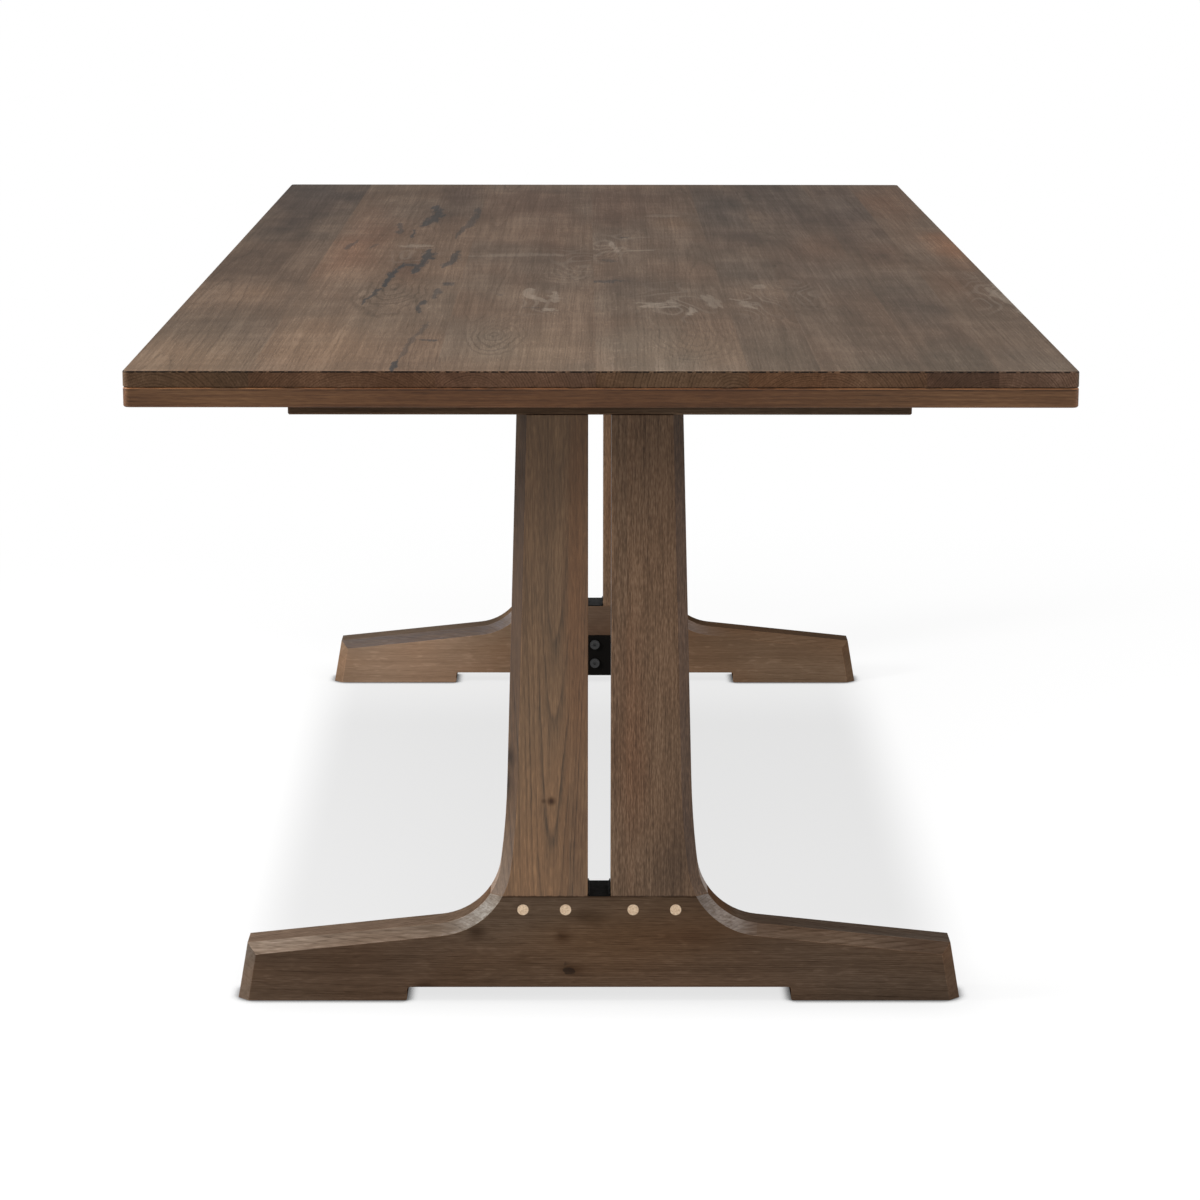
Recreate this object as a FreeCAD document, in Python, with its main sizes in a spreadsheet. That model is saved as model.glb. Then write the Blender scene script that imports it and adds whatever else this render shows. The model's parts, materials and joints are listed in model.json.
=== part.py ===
"""Trestle dining table: a two-layer plank top on two slotted pedestals.

Frame: the origin is on the floor under the middle of the top, X runs across the table,
Y along it and Z up. The near pedestal is the one at -Y. Lengths are millimetres.

Each pedestal is drawn in a frame of its own, centred between its posts, with the outer face
at -Y, and is then turned and moved to its place. The two pedestals are alike.
"""
import FreeCAD
import Part
import Sketcher
import math
import os
import re

SIZES = [
    ("table_height", 762, "floor to the top face"),
    ("top_length", 2134, "along Y"),
    ("board_a_width", 130.5, "boards of the top, from -X to +X"),
    ("board_b_width", 192.5, ""),
    ("board_c_width", 166, ""),
    ("board_d_width", 158, ""),
    ("board_e_width", 74.5, ""),
    ("board_f_width", 109.5, ""),
    ("board_g_width", 74.5, ""),
    ("board_h_width", 83.5, ""),
    ("board_thickness", 17.5, ""),
    ("corner_radius", 8, "plan corners of the top"),
    ("edge_ease", 1.2, "chamfer round the top and bottom arris of the rim"),
    ("layer_groove", 1.2, "chamfer on each side of the line between the two layers"),
    ("rail_thickness", 20.5, "build-up rails under the rim"),
    ("rail_width", 75, ""),
    ("spline_thickness", 5, "loose splines in the edge joints"),
    ("spline_width", 22, ""),
    ("spline_stop", 60, "from the end of a board to the end of its spline"),
    ("mitre_spline_thickness", 4, "loose splines in the mitres of the rails"),
    ("mitre_spline_width", 22, ""),
    ("mitre_spline_length", 64, ""),
    ("fit_gap", 0.1, "clearance of a glued or bored fit, each side"),
    ("batten_width", 90, "cross batten under the middle of the top"),
    ("batten_thickness", 22, ""),
    ("batten_gap", 3, "from each batten end to the rail"),
    ("screw_radius", 2.1, ""),
    ("screw_bite", 11, "length of a screw in its board"),
    ("screw_seat", 14, "wood between a screw head and the board"),
    ("screw_head_radius", 4.2, ""),
    ("screw_head_height", 3, ""),
    ("screw_recess_radius", 5, "counterbore round a screw head"),
    ("screw_slot_radius", 2.6, ""),
    ("drill_past", 1, "depth of a blind hole past the end of its screw, bolt insert or bolt"),
    ("slot_travel", 3, "how far a screw or bolt may slide each way as the top swells"),
    ("pedestal_setback", 246, "end of the top to the outer face of a pedestal"),
    ("pedestal_thickness", 60, "crossbar, posts and foot, along Y"),
    ("crossbar_length", 690, ""),
    ("crossbar_height", 66.5, ""),
    ("crossbar_ease", 1.5, "chamfer on the lower edges and the ends of crossbars and batten"),
    ("slot_width", 26, "between the two posts"),
    ("slot_ease", 1, "chamfer on the posts along the slot"),
    ("post_top_half", 92.7, "middle of the pedestal to a post's outer face, at the crossbar"),
    ("sweep_radius", 1034, "upper, slack part of the curve from post to foot"),
    ("sweep_start", 155.5, "height where the tight part of the curve begins"),
    ("hollow_radius", 77, "tight part of the curve, shared by post and foot"),
    ("hollow_x", 189, "centre of that curve"),
    ("hollow_z", 165.5, ""),
    ("arris_width", 12, "broad chamfer along posts and foot"),
    ("tenon_thickness", 20, "all tenons, along Y"),
    ("tenon_end_gap", 1, "glue space under a tenon"),
    ("head_tenon_shoulder", 14, "slot face to the tenon at the crossbar"),
    ("head_tenon_width", 53, ""),
    ("head_tenon_length", 45, ""),
    ("foot_tenon_shoulder", 12, "slot face to the tenon in the foot"),
    ("foot_tenon_width", 76, ""),
    ("foot_tenon_length", 50, ""),
    ("foot_length", 828, "at the floor"),
    ("foot_height", 124, "at the posts"),
    ("foot_end_height", 65.6, ""),
    ("foot_end_lean", 11.5, "how far the top of each end leans in"),
    ("relief_length", 440, "raised middle of the foot"),
    ("relief_height", 16, ""),
    ("relief_radius", 3.5, "inner corner of the relief"),
    ("pad_radius", 2.5, "lower corner of a floor pad"),
    ("pin_radius", 6.35, "drawbore pins"),
    ("pin_inner_x", 38.5, ""),
    ("pin_outer_x", 87, ""),
    ("pin_drop", 16, "below the joint of post and foot"),
    ("shoe_sheet", 1.2, "sheet that the shoe at the bottom of the slot is bent from"),
    ("shoe_height", 3.5, "height of its sides above the foot"),
    ("shoe_bend", 2.6, "outer radius of its bends"),
    ("plate_width", 76, "steel plate on the inner face of the foot"),
    ("plate_height", 64, ""),
    ("plate_drop", 3, "how far the plate reaches below the raised middle of the foot"),
    ("plate_thickness", 6, ""),
    ("plate_radius", 4, ""),
    ("plate_bolt_spacing", 30, ""),
    ("plate_bolt_edge", 13.5, "top of the plate to its upper bolt"),
    ("plate_bolt_bite", 24, "length of a plate bolt in the foot"),
    ("plate_insert_length", 25, ""),
    ("plate_head_radius", 7.5, ""),
    ("plate_head_height", 4.5, ""),
    ("bolt_radius", 4, "all bolts"),
    ("bolt_hole_radius", 4.5, ""),
    ("insert_radius", 6, "threaded inserts"),
    ("key_radius", 2.9, "hexagon socket, across its corners"),
    ("key_depth", 2.5, ""),
    ("bar_bolt_recess", 14, "depth of the bolt recesses under a crossbar"),
    ("bar_recess_radius", 11, ""),
    ("bar_bolt_bite", 11.5, "length of a crossbar bolt in the top"),
    ("bar_insert_length", 13, ""),
    ("bar_head_radius", 6.5, ""),
    ("bar_head_height", 8, ""),
    ("bar_bolt_edge", 40, "inner crossbar bolts to the nearest edge joint of the top"),
    ("washer_radius", 10, ""),
    ("washer_thickness", 1.6, ""),
]

BOARDS = "abcdefgh"
SCREWED_BOARDS = "bcdf"
# Points of sketch geometry, and the sketch's own origin and axes.
START, END, CENTRE = range(1, 4)
ORIGIN, ACROSS, UPRIGHT = (-1, START), -1, -2
TOUCH = 0.01

doc = FreeCAD.newDocument("TrestleTable")
sheet = doc.addObject("Spreadsheet::Sheet", "Sizes")
for row, (alias, size, note) in enumerate(SIZES, start=1):
    sheet.set("A%d" % row, alias.replace("_", " "))
    sheet.set("B%d" % row, str(size))
    sheet.set("C%d" % row, note)
    sheet.setAlias("B%d" % row, alias)
doc.recompute()

pieces = []


# ---------------------------------------------------------------- terms of the sheet

def sized(term):
    """Turns a term such as "top_length / 2" into an expression on the sheet."""
    return re.sub(r"[a-z]+(?:_[a-z]+)+", lambda found: "Sizes." + found.group(), term)


def number(term):
    """What a term is worth now."""
    return float(sheet.evalExpression(sized(term)))


def bind(thing, prop, term):
    thing.setExpression(prop, sized(term))


def widths(letters):
    return " + ".join("board_%s_width" % letter for letter in letters) or "0"


TOP_WIDTH = "(%s)" % widths(BOARDS)
UNDER_BOARDS = "(table_height - board_thickness)"
UNDER_CROSSBAR = "(table_height - board_thickness - crossbar_height)"
PEDESTAL_Y = "(top_length / 2 - pedestal_setback - pedestal_thickness / 2)"
PLATE_LOW = "(relief_height - plate_drop)"
PLATE_HIGH = "(relief_height - plate_drop + plate_height)"
SCREW_SEAT_Z = "(table_height - board_thickness - screw_seat)"
SCREW_LENGTH = "(screw_seat + screw_bite)"
BAR_SEAT_Z = "(table_height - board_thickness - crossbar_height + bar_bolt_recess)"
END_SCREW_Y = "(top_length / 2 - rail_width / 2)"


def board_left(letter):
    return "(%s - %s / 2)" % (widths(BOARDS[:BOARDS.index(letter)]), TOP_WIDTH)


def board_middle(letter):
    return "(%s + board_%s_width / 2)" % (board_left(letter), letter)


# Where the four bolts of each crossbar come up: board, and place across the top.
BAR_BOLTS = [
    ("b", board_middle("b")),
    ("c", "(%s + bar_bolt_edge)" % board_left("c")),
    ("d", "(%s - bar_bolt_edge)" % board_left("e")),
    ("f", board_middle("f")),
]


# ---------------------------------------------------------------- building blocks

def keep(piece, label):
    piece.Label = label
    pieces.append(piece)
    return piece


def new_body(label, x="0", y="0", z="0", turned=False):
    body = doc.addObject("PartDesign::Body", label)
    if turned:
        body.Placement = FreeCAD.Placement(FreeCAD.Vector(), FreeCAD.Rotation(FreeCAD.Vector(0, 0, 1), 180))
    for axis, term in (("x", x), ("y", y), ("z", z)):
        if term != "0":
            bind(body, "Placement.Base." + axis, term)
    return keep(body, label)


def new_sketch(body, plane, offset="0"):
    """A sketch on one of the body's own planes, moved along that plane's normal."""
    sketch = body.newObject("Sketcher::SketchObject", body.Label + "_sketch")
    origin_plane = [feature for feature in body.Origin.OriginFeatures if feature.Role == plane][0]
    sketch.AttachmentSupport = [(origin_plane, "")]
    sketch.MapMode = "FlatFace"
    if offset != "0":
        bind(sketch, "AttachmentOffset.Base.z", offset)
    return sketch


def constrain(sketch, kind, *args):
    return sketch.addConstraint(Sketcher.Constraint(kind, *args))


def set_size(sketch, kind, places, term):
    """Adds a sized constraint and binds it to the sheet."""
    index = constrain(sketch, kind, *places, number(term))
    if "_" in term:
        bind(sketch, "Constraints[%d]" % index, term)


def place_point(sketch, geometry, point, x, y):
    for kind, axis, term in (("DistanceX", UPRIGHT, x), ("DistanceY", ACROSS, y)):
        if term == "0":
            constrain(sketch, "PointOnObject", geometry, point, axis)
        else:
            set_size(sketch, kind, (*ORIGIN, geometry, point), term)


def vector(x, y):
    return FreeCAD.Vector(number(x), number(y), 0)


def polygon(sketch, corners):
    """Straight-sided closed outline. Each corner is a pair of terms."""
    first = sketch.GeometryCount
    points = [vector(x, y) for x, y in corners]
    for start, end in zip(points, points[1:] + points[:1]):
        sketch.addGeometry(Part.LineSegment(start, end), False)
    for index, (x, y) in enumerate(corners):
        before = first + (index - 1) % len(corners)
        constrain(sketch, "Coincident", before, END, first + index, START)
        place_point(sketch, first + index, START, x, y)


def rectangle(sketch, left, low, right, high):
    polygon(sketch, [(left, low), (right, low), (right, high), (left, high)])


def circle(sketch, x, y, radius):
    up = FreeCAD.Vector(0, 0, 1)
    index = sketch.addGeometry(Part.Circle(vector(x, y), up, number(radius)), False)
    place_point(sketch, index, CENTRE, x, y)
    set_size(sketch, "Radius", (index,), radius)


def arc(centre, radius, start, end):
    """Arc from one point anticlockwise to another."""
    def angle(point):
        return math.atan2(point.y - centre.y, point.x - centre.x)
    whole = Part.Circle(centre, FreeCAD.Vector(0, 0, 1), radius)
    return Part.ArcOfCircle(whole, angle(start), angle(end))


def long_hole(sketch, x, y, travel, radius):
    """Round-ended hole, longer across the table than along it."""
    left, right = "%s - %s" % (x, travel), "%s + %s" % (x, travel)
    low, high = "%s - %s" % (y, radius), "%s + %s" % (y, radius)
    size = number(radius)
    lower, right_end, upper, left_end = [sketch.addGeometry(shape, False) for shape in (
        Part.LineSegment(vector(left, low), vector(right, low)),
        arc(vector(right, y), size, vector(right, low), vector(right, high)),
        Part.LineSegment(vector(right, high), vector(left, high)),
        arc(vector(left, y), size, vector(left, high), vector(left, low)),
    )]
    for one, other in ((lower, right_end), (right_end, upper), (upper, left_end), (left_end, lower)):
        constrain(sketch, "Tangent", one, END, other, START)
    place_point(sketch, right_end, CENTRE, right, y)
    set_size(sketch, "DistanceX", (*ORIGIN, left_end, CENTRE), left)
    set_size(sketch, "Radius", (right_end,), radius)
    constrain(sketch, "Horizontal", lower)


def pad(body, sketch, length, symmetric=False, reverse=False):
    feature = body.newObject("PartDesign::Pad", body.Label + "_pad")
    feature.Profile = sketch
    feature.SideType = "Symmetric" if symmetric else "One side"
    feature.Reversed = reverse
    bind(feature, "Length", length)
    doc.recompute()
    return feature


def pocket(body, sketch, depth, symmetric=False, reverse=False):
    """Cuts a sketch out of the body and makes sure that it took wood away."""
    before = body.Shape.Volume
    feature = body.newObject("PartDesign::Pocket", body.Label + "_pocket")
    feature.Profile = sketch
    feature.SideType = "Symmetric" if symmetric else "One side"
    feature.Reversed = reverse
    bind(feature, "Length", depth)
    doc.recompute()
    if not body.Shape.Volume < before:
        raise RuntimeError("a pocket cuts nothing: " + feature.Label)
    return feature


def edges_of(body, wanted):
    """Names of the body's edges whose middle point and direction pass a test."""
    names = []
    for index, edge in enumerate(body.Shape.Edges, start=1):
        first, last = edge.ParameterRange
        middle = (first + last) / 2
        if wanted(edge.valueAt(middle), edge.tangentAt(middle)):
            names.append("Edge%d" % index)
    return names


def dress(body, kind, prop, size, wanted):
    """Chamfers or fillets the edges that pass a test. They are found in the body's own frame."""
    tip = body.Tip
    placement = body.Placement
    body.Placement = FreeCAD.Placement()
    names = edges_of(body, wanted)
    body.Placement = placement
    feature = body.newObject("PartDesign::" + kind, body.Label + "_" + kind.lower())
    feature.Base = (tip, names)
    bind(feature, prop, size)
    doc.recompute()
    return feature


def near_to(one, other):
    return abs(one - other) < TOUCH


def primitive(kind, label, sizes, x="0", y="0", z="0", axis=None):
    """A Part primitive with its sizes and place bound to the sheet."""
    solid = doc.addObject("Part::" + kind, label)
    if axis:
        turn = FreeCAD.Rotation(FreeCAD.Vector(0, 0, 1), axis)
        solid.Placement = FreeCAD.Placement(FreeCAD.Vector(), turn)
    for prop, term in sizes.items():
        bind(solid, prop, term)
    for name, term in (("x", x), ("y", y), ("z", z)):
        if term != "0":
            bind(solid, "Placement.Base." + name, term)
    return solid


def fused(label, solids):
    joined = doc.addObject("Part::MultiFuse", label)
    joined.Shapes = solids
    return joined


def cut(label, base, tool):
    result = doc.addObject("Part::Cut", label)
    result.Base = base
    result.Tool = tool
    return result


def group(label, solids, y="0", turned=False):
    """Loose pieces of one kind that share a node, each a solid of its own."""
    whole = doc.addObject("Part::Compound", label)
    whole.Links = solids
    if turned:
        whole.Placement = FreeCAD.Placement(FreeCAD.Vector(), FreeCAD.Rotation(FreeCAD.Vector(0, 0, 1), 180))
    if y != "0":
        bind(whole, "Placement.Base.y", y)
    return keep(whole, label)


# ---------------------------------------------------------------- the top

def make_board(letter):
    """One board of the top, with its spline grooves and the holes for what holds it down."""
    width = "board_%s_width" % letter
    first, last = letter == BOARDS[0], letter == BOARDS[-1]
    body = new_body("top_board_%d" % (BOARDS.index(letter) + 1), board_left(letter), "0", UNDER_BOARDS)
    outline = new_sketch(body, "XY_Plane")
    rectangle(outline, "0", "-top_length / 2", width, "top_length / 2")
    pad(body, outline, "board_thickness")

    for outer, x in ((first, "0"), (last, width)):
        if outer:
            dress(body, "Fillet", "Radius", "corner_radius",
                  lambda spot, way: abs(way.z) > 0.9 and near_to(spot.x, number(x)))

    thick, half, wide = number("board_thickness"), number("top_length / 2"), number(width)

    def on_rim(spot):
        ends = abs(spot.y) > half - number("corner_radius") + TOUCH
        return ends or first and spot.x < TOUCH or last and spot.x > wide - TOUCH

    dress(body, "Chamfer", "Size", "edge_ease",
          lambda spot, way: near_to(spot.z, thick) and abs(way.z) < TOUCH and on_rim(spot))
    dress(body, "Chamfer", "Size", "layer_groove",
          lambda spot, way: near_to(spot.z, 0) and abs(way.z) < TOUCH and on_rim(spot))

    groove_depth = "spline_width / 2 + fit_gap"
    groove_low = "board_thickness / 2 - spline_thickness / 2 - fit_gap"
    groove_high = "board_thickness / 2 + spline_thickness / 2 + fit_gap"
    groove_end = "(top_length / 2 - spline_stop + fit_gap)"
    for jointed, x, inward in ((not first, "0", True), (not last, width, False)):
        if jointed:
            groove = new_sketch(body, "YZ_Plane", x)
            rectangle(groove, "-" + groove_end, groove_low, groove_end, groove_high)
            pocket(body, groove, groove_depth, reverse=inward)

    if letter in SCREWED_BOARDS:
        pilots = new_sketch(body, "XY_Plane")
        for y in ("-" + END_SCREW_Y, "0", END_SCREW_Y):
            circle(pilots, width + " / 2", y, "screw_radius + fit_gap")
        pocket(body, pilots, "screw_bite + drill_past", reverse=True)

    for bolted, x in BAR_BOLTS:
        if bolted == letter:
            bores = new_sketch(body, "XY_Plane")
            for y in ("-" + PEDESTAL_Y, PEDESTAL_Y):
                circle(bores, "%s - %s" % (x, board_left(letter)), y, "insert_radius + fit_gap")
            pocket(body, bores, "bar_insert_length", reverse=True)
    return body


def make_edge_splines():
    """The loose splines that line the boards up, one in each edge joint."""
    strips = []
    for letter in BOARDS[1:]:
        strips.append(primitive(
            "Box", "edge_spline_" + letter,
            {"Length": "spline_width", "Width": "top_length - 2 * spline_stop", "Height": "spline_thickness"},
            x=board_left(letter) + " - spline_width / 2",
            y="spline_stop - top_length / 2",
            z=UNDER_BOARDS + " + board_thickness / 2 - spline_thickness / 2"))
    return group("edge_splines", strips)


def mitre_corner(sx, sy, along, across):
    """A point of a mitre, from the outer corner: along the mitre line and square to it."""
    x = "%s%s / 2 %s (%s + %s) / sqrt(2)" % (sx, TOP_WIDTH, "+" if sx == "-" else "-", along, across)
    y = "%stop_length / 2 %s (%s - %s) / sqrt(2)" % (sy, "+" if sy == "-" else "-", along, across)
    return x, y


def rail_outline(sketch, sx, sy, is_end):
    """Plan of a rail: rounded tip, outer edge, rounded tip, mitre, inner edge and mitre."""
    half_width, half_length = TOP_WIDTH + " / 2", "top_length / 2"
    tip = "corner_radius * (1 - 1 / sqrt(2))"

    def corner(sign_x, sign_y, x_inset, y_inset):
        x = "%s(%s - %s)" % (sign_x, half_width, x_inset)
        y = "%s(%s - %s)" % (sign_y, half_length, y_inset)
        return x, y

    if is_end:
        signs = [("-", sy), ("+", sy)] if sy == "-" else [("+", sy), ("-", sy)]
        flat = ("corner_radius", "0")
    else:
        signs = [(sx, "+"), (sx, "-")] if sx == "-" else [(sx, "-"), (sx, "+")]
        flat = ("0", "corner_radius")
    (ax, ay), (bx, by) = signs
    points = [corner(ax, ay, tip, tip), corner(ax, ay, *flat),
              corner(bx, by, *flat), corner(bx, by, tip, tip),
              corner(bx, by, "rail_width", "rail_width"), corner(ax, ay, "rail_width", "rail_width")]
    centres = [corner(ax, ay, "corner_radius", "corner_radius"),
               corner(bx, by, "corner_radius", "corner_radius")]
    spots = [vector(*point) for point in points]
    radius = number("corner_radius")
    shapes = [arc(vector(*centres[0]), radius, spots[0], spots[1]), Part.LineSegment(spots[1], spots[2]),
              arc(vector(*centres[1]), radius, spots[2], spots[3]), Part.LineSegment(spots[3], spots[4]),
              Part.LineSegment(spots[4], spots[5]), Part.LineSegment(spots[5], spots[0])]
    for shape in shapes:
        sketch.addGeometry(shape, False)
    for index, point in enumerate(points):
        constrain(sketch, "Coincident", (index - 1) % len(points), END, index, START)
        place_point(sketch, index, START, *point)
    for index in (0, 2):
        set_size(sketch, "Radius", (index,), "corner_radius")


def make_rail(label, sx, sy):
    """One mitred rail of the frame that thickens the rim of the top."""
    is_end = sx == ""
    body = new_body(label, "0", "0", UNDER_BOARDS + " - rail_thickness")
    outline = new_sketch(body, "XY_Plane")
    rail_outline(outline, sx, sy, is_end)
    pad(body, outline, "rail_thickness")

    thick = number("rail_thickness")
    half_x, half_y = number(TOP_WIDTH + " / 2"), number("top_length / 2")
    tip = number("corner_radius")

    def on_rim(spot, way):
        along = near_to(abs(spot.y), half_y) if is_end else near_to(abs(spot.x), half_x)
        in_corner = abs(spot.x) > half_x - tip and abs(spot.y) > half_y - tip
        return abs(way.z) < TOUCH and (along or in_corner and not near_to(abs(way.x), abs(way.y)))

    dress(body, "Chamfer", "Size", "layer_groove",
          lambda spot, way: near_to(spot.z, thick) and on_rim(spot, way))
    dress(body, "Chamfer", "Size", "edge_ease",
          lambda spot, way: near_to(spot.z, 0) and on_rim(spot, way))

    groove = new_sketch(body, "XY_Plane", "rail_thickness / 2 + mitre_spline_thickness / 2 + fit_gap")
    ends = [("-", sy), ("+", sy)] if is_end else [(sx, "-"), (sx, "+")]
    long_half = "(mitre_spline_length / 2 + fit_gap)"
    wide_half = "(mitre_spline_width / 2 + fit_gap)"
    middle = "rail_width / sqrt(2)"
    for end_x, end_y in ends:
        polygon(groove, [mitre_corner(end_x, end_y, "(%s %s %s)" % (middle, way, long_half), side + wide_half)
                         for way, side in (("-", "-"), ("+", "-"), ("+", "+"), ("-", "+"))])
    pocket(body, groove, "mitre_spline_thickness + 2 * fit_gap")

    if is_end:
        screw_holes(body, [board_middle(letter) for letter in SCREWED_BOARDS],
                    "%s%s" % (sy, END_SCREW_Y), "rail_thickness")
    return body


def screw_holes(body, across, y, thickness):
    """Slotted, counterbored screw holes from below, which let the boards above swell and shrink."""
    for depth, radius in ((thickness, "screw_slot_radius"),
                          (thickness + " - screw_seat", "screw_recess_radius")):
        holes = new_sketch(body, "XY_Plane")
        for x in across:
            long_hole(holes, x, y, "slot_travel", radius)
        pocket(body, holes, depth, reverse=True)


def make_mitre_splines():
    """A loose spline across each mitre of the rails."""
    splines = []
    for index, (sx, sy) in enumerate((("-", "-"), ("+", "-"), ("+", "+"), ("-", "+")), start=1):
        body = doc.addObject("PartDesign::Body", "mitre_spline_%d" % index)
        low = UNDER_BOARDS + " - rail_thickness / 2 - mitre_spline_thickness / 2"
        outline = new_sketch(body, "XY_Plane", low)
        long_half, wide_half = "mitre_spline_length / 2", "mitre_spline_width / 2"
        polygon(outline, [
            mitre_corner(sx, sy, "(rail_width / sqrt(2) %s %s)" % (way, long_half), side + wide_half)
            for way, side in (("-", "-"), ("+", "-"), ("+", "+"), ("-", "+"))])
        pad(body, outline, "mitre_spline_thickness")
        splines.append(body)
    return group("mitre_splines", splines)


def make_batten():
    """The batten that keeps the middle of the top flat."""
    body = new_body("middle_batten", "0", "0", UNDER_BOARDS + " - batten_thickness")
    half = "(%s / 2 - rail_width - batten_gap)" % TOP_WIDTH
    outline = new_sketch(body, "XY_Plane")
    rectangle(outline, "-" + half, "-batten_width / 2", half, "batten_width / 2")
    pad(body, outline, "batten_thickness")
    dress(body, "Chamfer", "Size", "crossbar_ease",
          lambda spot, way: near_to(spot.z, 0) and abs(way.z) < TOUCH)
    screw_holes(body, [board_middle(letter) for letter in SCREWED_BOARDS], "0", "batten_thickness")
    return body


def screw(label, x, y):
    """Pan-head wood screw, driven up from below."""
    shank = primitive("Cylinder", label + "_shank",
                      {"Radius": "screw_radius", "Height": SCREW_LENGTH}, x, y, SCREW_SEAT_Z)
    head = primitive("Cylinder", label + "_head",
                     {"Radius": "screw_head_radius", "Height": "screw_head_height"},
                     x, y, SCREW_SEAT_Z + " - screw_head_height")
    return fused(label, [shank, head])


def make_screws(label, rows):
    """A screw in the middle of each screwed board, on each of the rows."""
    return group(label, [screw("%s_%d_%s" % (label, index, letter), board_middle(letter), y)
                         for index, y in enumerate(rows, start=1) for letter in SCREWED_BOARDS])


# ---------------------------------------------------------------- the pedestals

def tangent_point(point, centre, radius, side):
    """Where the tangent from a point touches a circle."""
    away = point.sub(centre)
    turn = math.atan2(away.y, away.x) + side * math.acos(radius / away.Length)
    return centre.add(FreeCAD.Vector(math.cos(turn), math.sin(turn), 0).multiply(radius))


def on_hollow(height):
    """The point of the shared tight curve at a height, on the side of the posts."""
    centre, radius = vector("hollow_x", "hollow_z"), number("hollow_radius")
    drop = centre.y - height
    return FreeCAD.Vector(centre.x - math.sqrt(radius ** 2 - drop ** 2), height, 0)


def post_outline(sketch):
    """Face of the right-hand post: slot edge, taper, slack curve, tight curve and shoulder."""
    hollow, hollow_radius = vector("hollow_x", "hollow_z"), number("hollow_radius")
    joint = on_hollow(number("foot_height"))
    bend = on_hollow(number("sweep_start"))
    sweep_radius = number("sweep_radius")
    sweep = bend.add(hollow.sub(bend).multiply(sweep_radius / hollow_radius))
    head = vector("post_top_half", UNDER_CROSSBAR)
    taper_foot = tangent_point(head, sweep, sweep_radius, 1)
    slot_foot, slot_head = vector("slot_width / 2", "foot_height"), vector("slot_width / 2", UNDER_CROSSBAR)
    shoulder, tight, slack, taper, top, inner = [sketch.addGeometry(shape, False) for shape in (
        Part.LineSegment(slot_foot, joint),
        arc(hollow, hollow_radius, bend, joint),
        arc(sweep, sweep_radius, taper_foot, bend),
        Part.LineSegment(taper_foot, head),
        Part.LineSegment(head, slot_head),
        Part.LineSegment(slot_head, slot_foot),
    )]
    place_point(sketch, shoulder, START, "slot_width / 2", "foot_height")
    constrain(sketch, "Horizontal", shoulder)
    constrain(sketch, "Coincident", shoulder, END, tight, END)
    place_point(sketch, tight, CENTRE, "hollow_x", "hollow_z")
    set_size(sketch, "Radius", (tight,), "hollow_radius")
    set_size(sketch, "DistanceY", (*ORIGIN, tight, START), "sweep_start")
    constrain(sketch, "Tangent", tight, START, slack, END)
    set_size(sketch, "Radius", (slack,), "sweep_radius")
    constrain(sketch, "Tangent", slack, START, taper, START)
    place_point(sketch, taper, END, "post_top_half", UNDER_CROSSBAR)
    constrain(sketch, "Coincident", taper, END, top, START)
    constrain(sketch, "Coincident", top, END, inner, START)
    place_point(sketch, inner, START, "slot_width / 2", UNDER_CROSSBAR)
    constrain(sketch, "Coincident", inner, END, shoulder, START)


def make_post(label, y, turned):
    """One post, drawn as the right-hand one. Turned half round, it is the left-hand one."""
    body = new_body(label, "0", y, "0", turned)
    outline = new_sketch(body, "XZ_Plane")
    post_outline(outline)
    pad(body, outline, "pedestal_thickness", symmetric=True)

    face, slot = number("pedestal_thickness / 2"), number("slot_width / 2")
    low, high = number("foot_height"), number(UNDER_CROSSBAR)

    def on_face(spot):
        return near_to(abs(spot.y), face) and low + TOUCH < spot.z < high - TOUCH

    dress(body, "Chamfer", "Size", "arris_width",
          lambda spot, way: on_face(spot) and spot.x > slot + TOUCH)
    dress(body, "Chamfer", "Size", "slot_ease",
          lambda spot, way: on_face(spot) and near_to(spot.x, slot))

    half = "tenon_thickness / 2"
    for name, z, length, down in (("head", UNDER_CROSSBAR, "head_tenon_length", False),
                                  ("foot", "foot_height", "foot_tenon_length", True)):
        left = "slot_width / 2 + %s_tenon_shoulder" % name
        section = new_sketch(body, "XY_Plane", z)
        rectangle(section, left, "-" + half, "%s + %s_tenon_width" % (left, name), half)
        pad(body, section, length, reverse=down)

    bores = new_sketch(body, "XZ_Plane")
    for x in ("pin_inner_x", "pin_outer_x"):
        circle(bores, x, "foot_height - pin_drop", "pin_radius + fit_gap")
    pocket(body, bores, "pedestal_thickness", symmetric=True)
    return body


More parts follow.
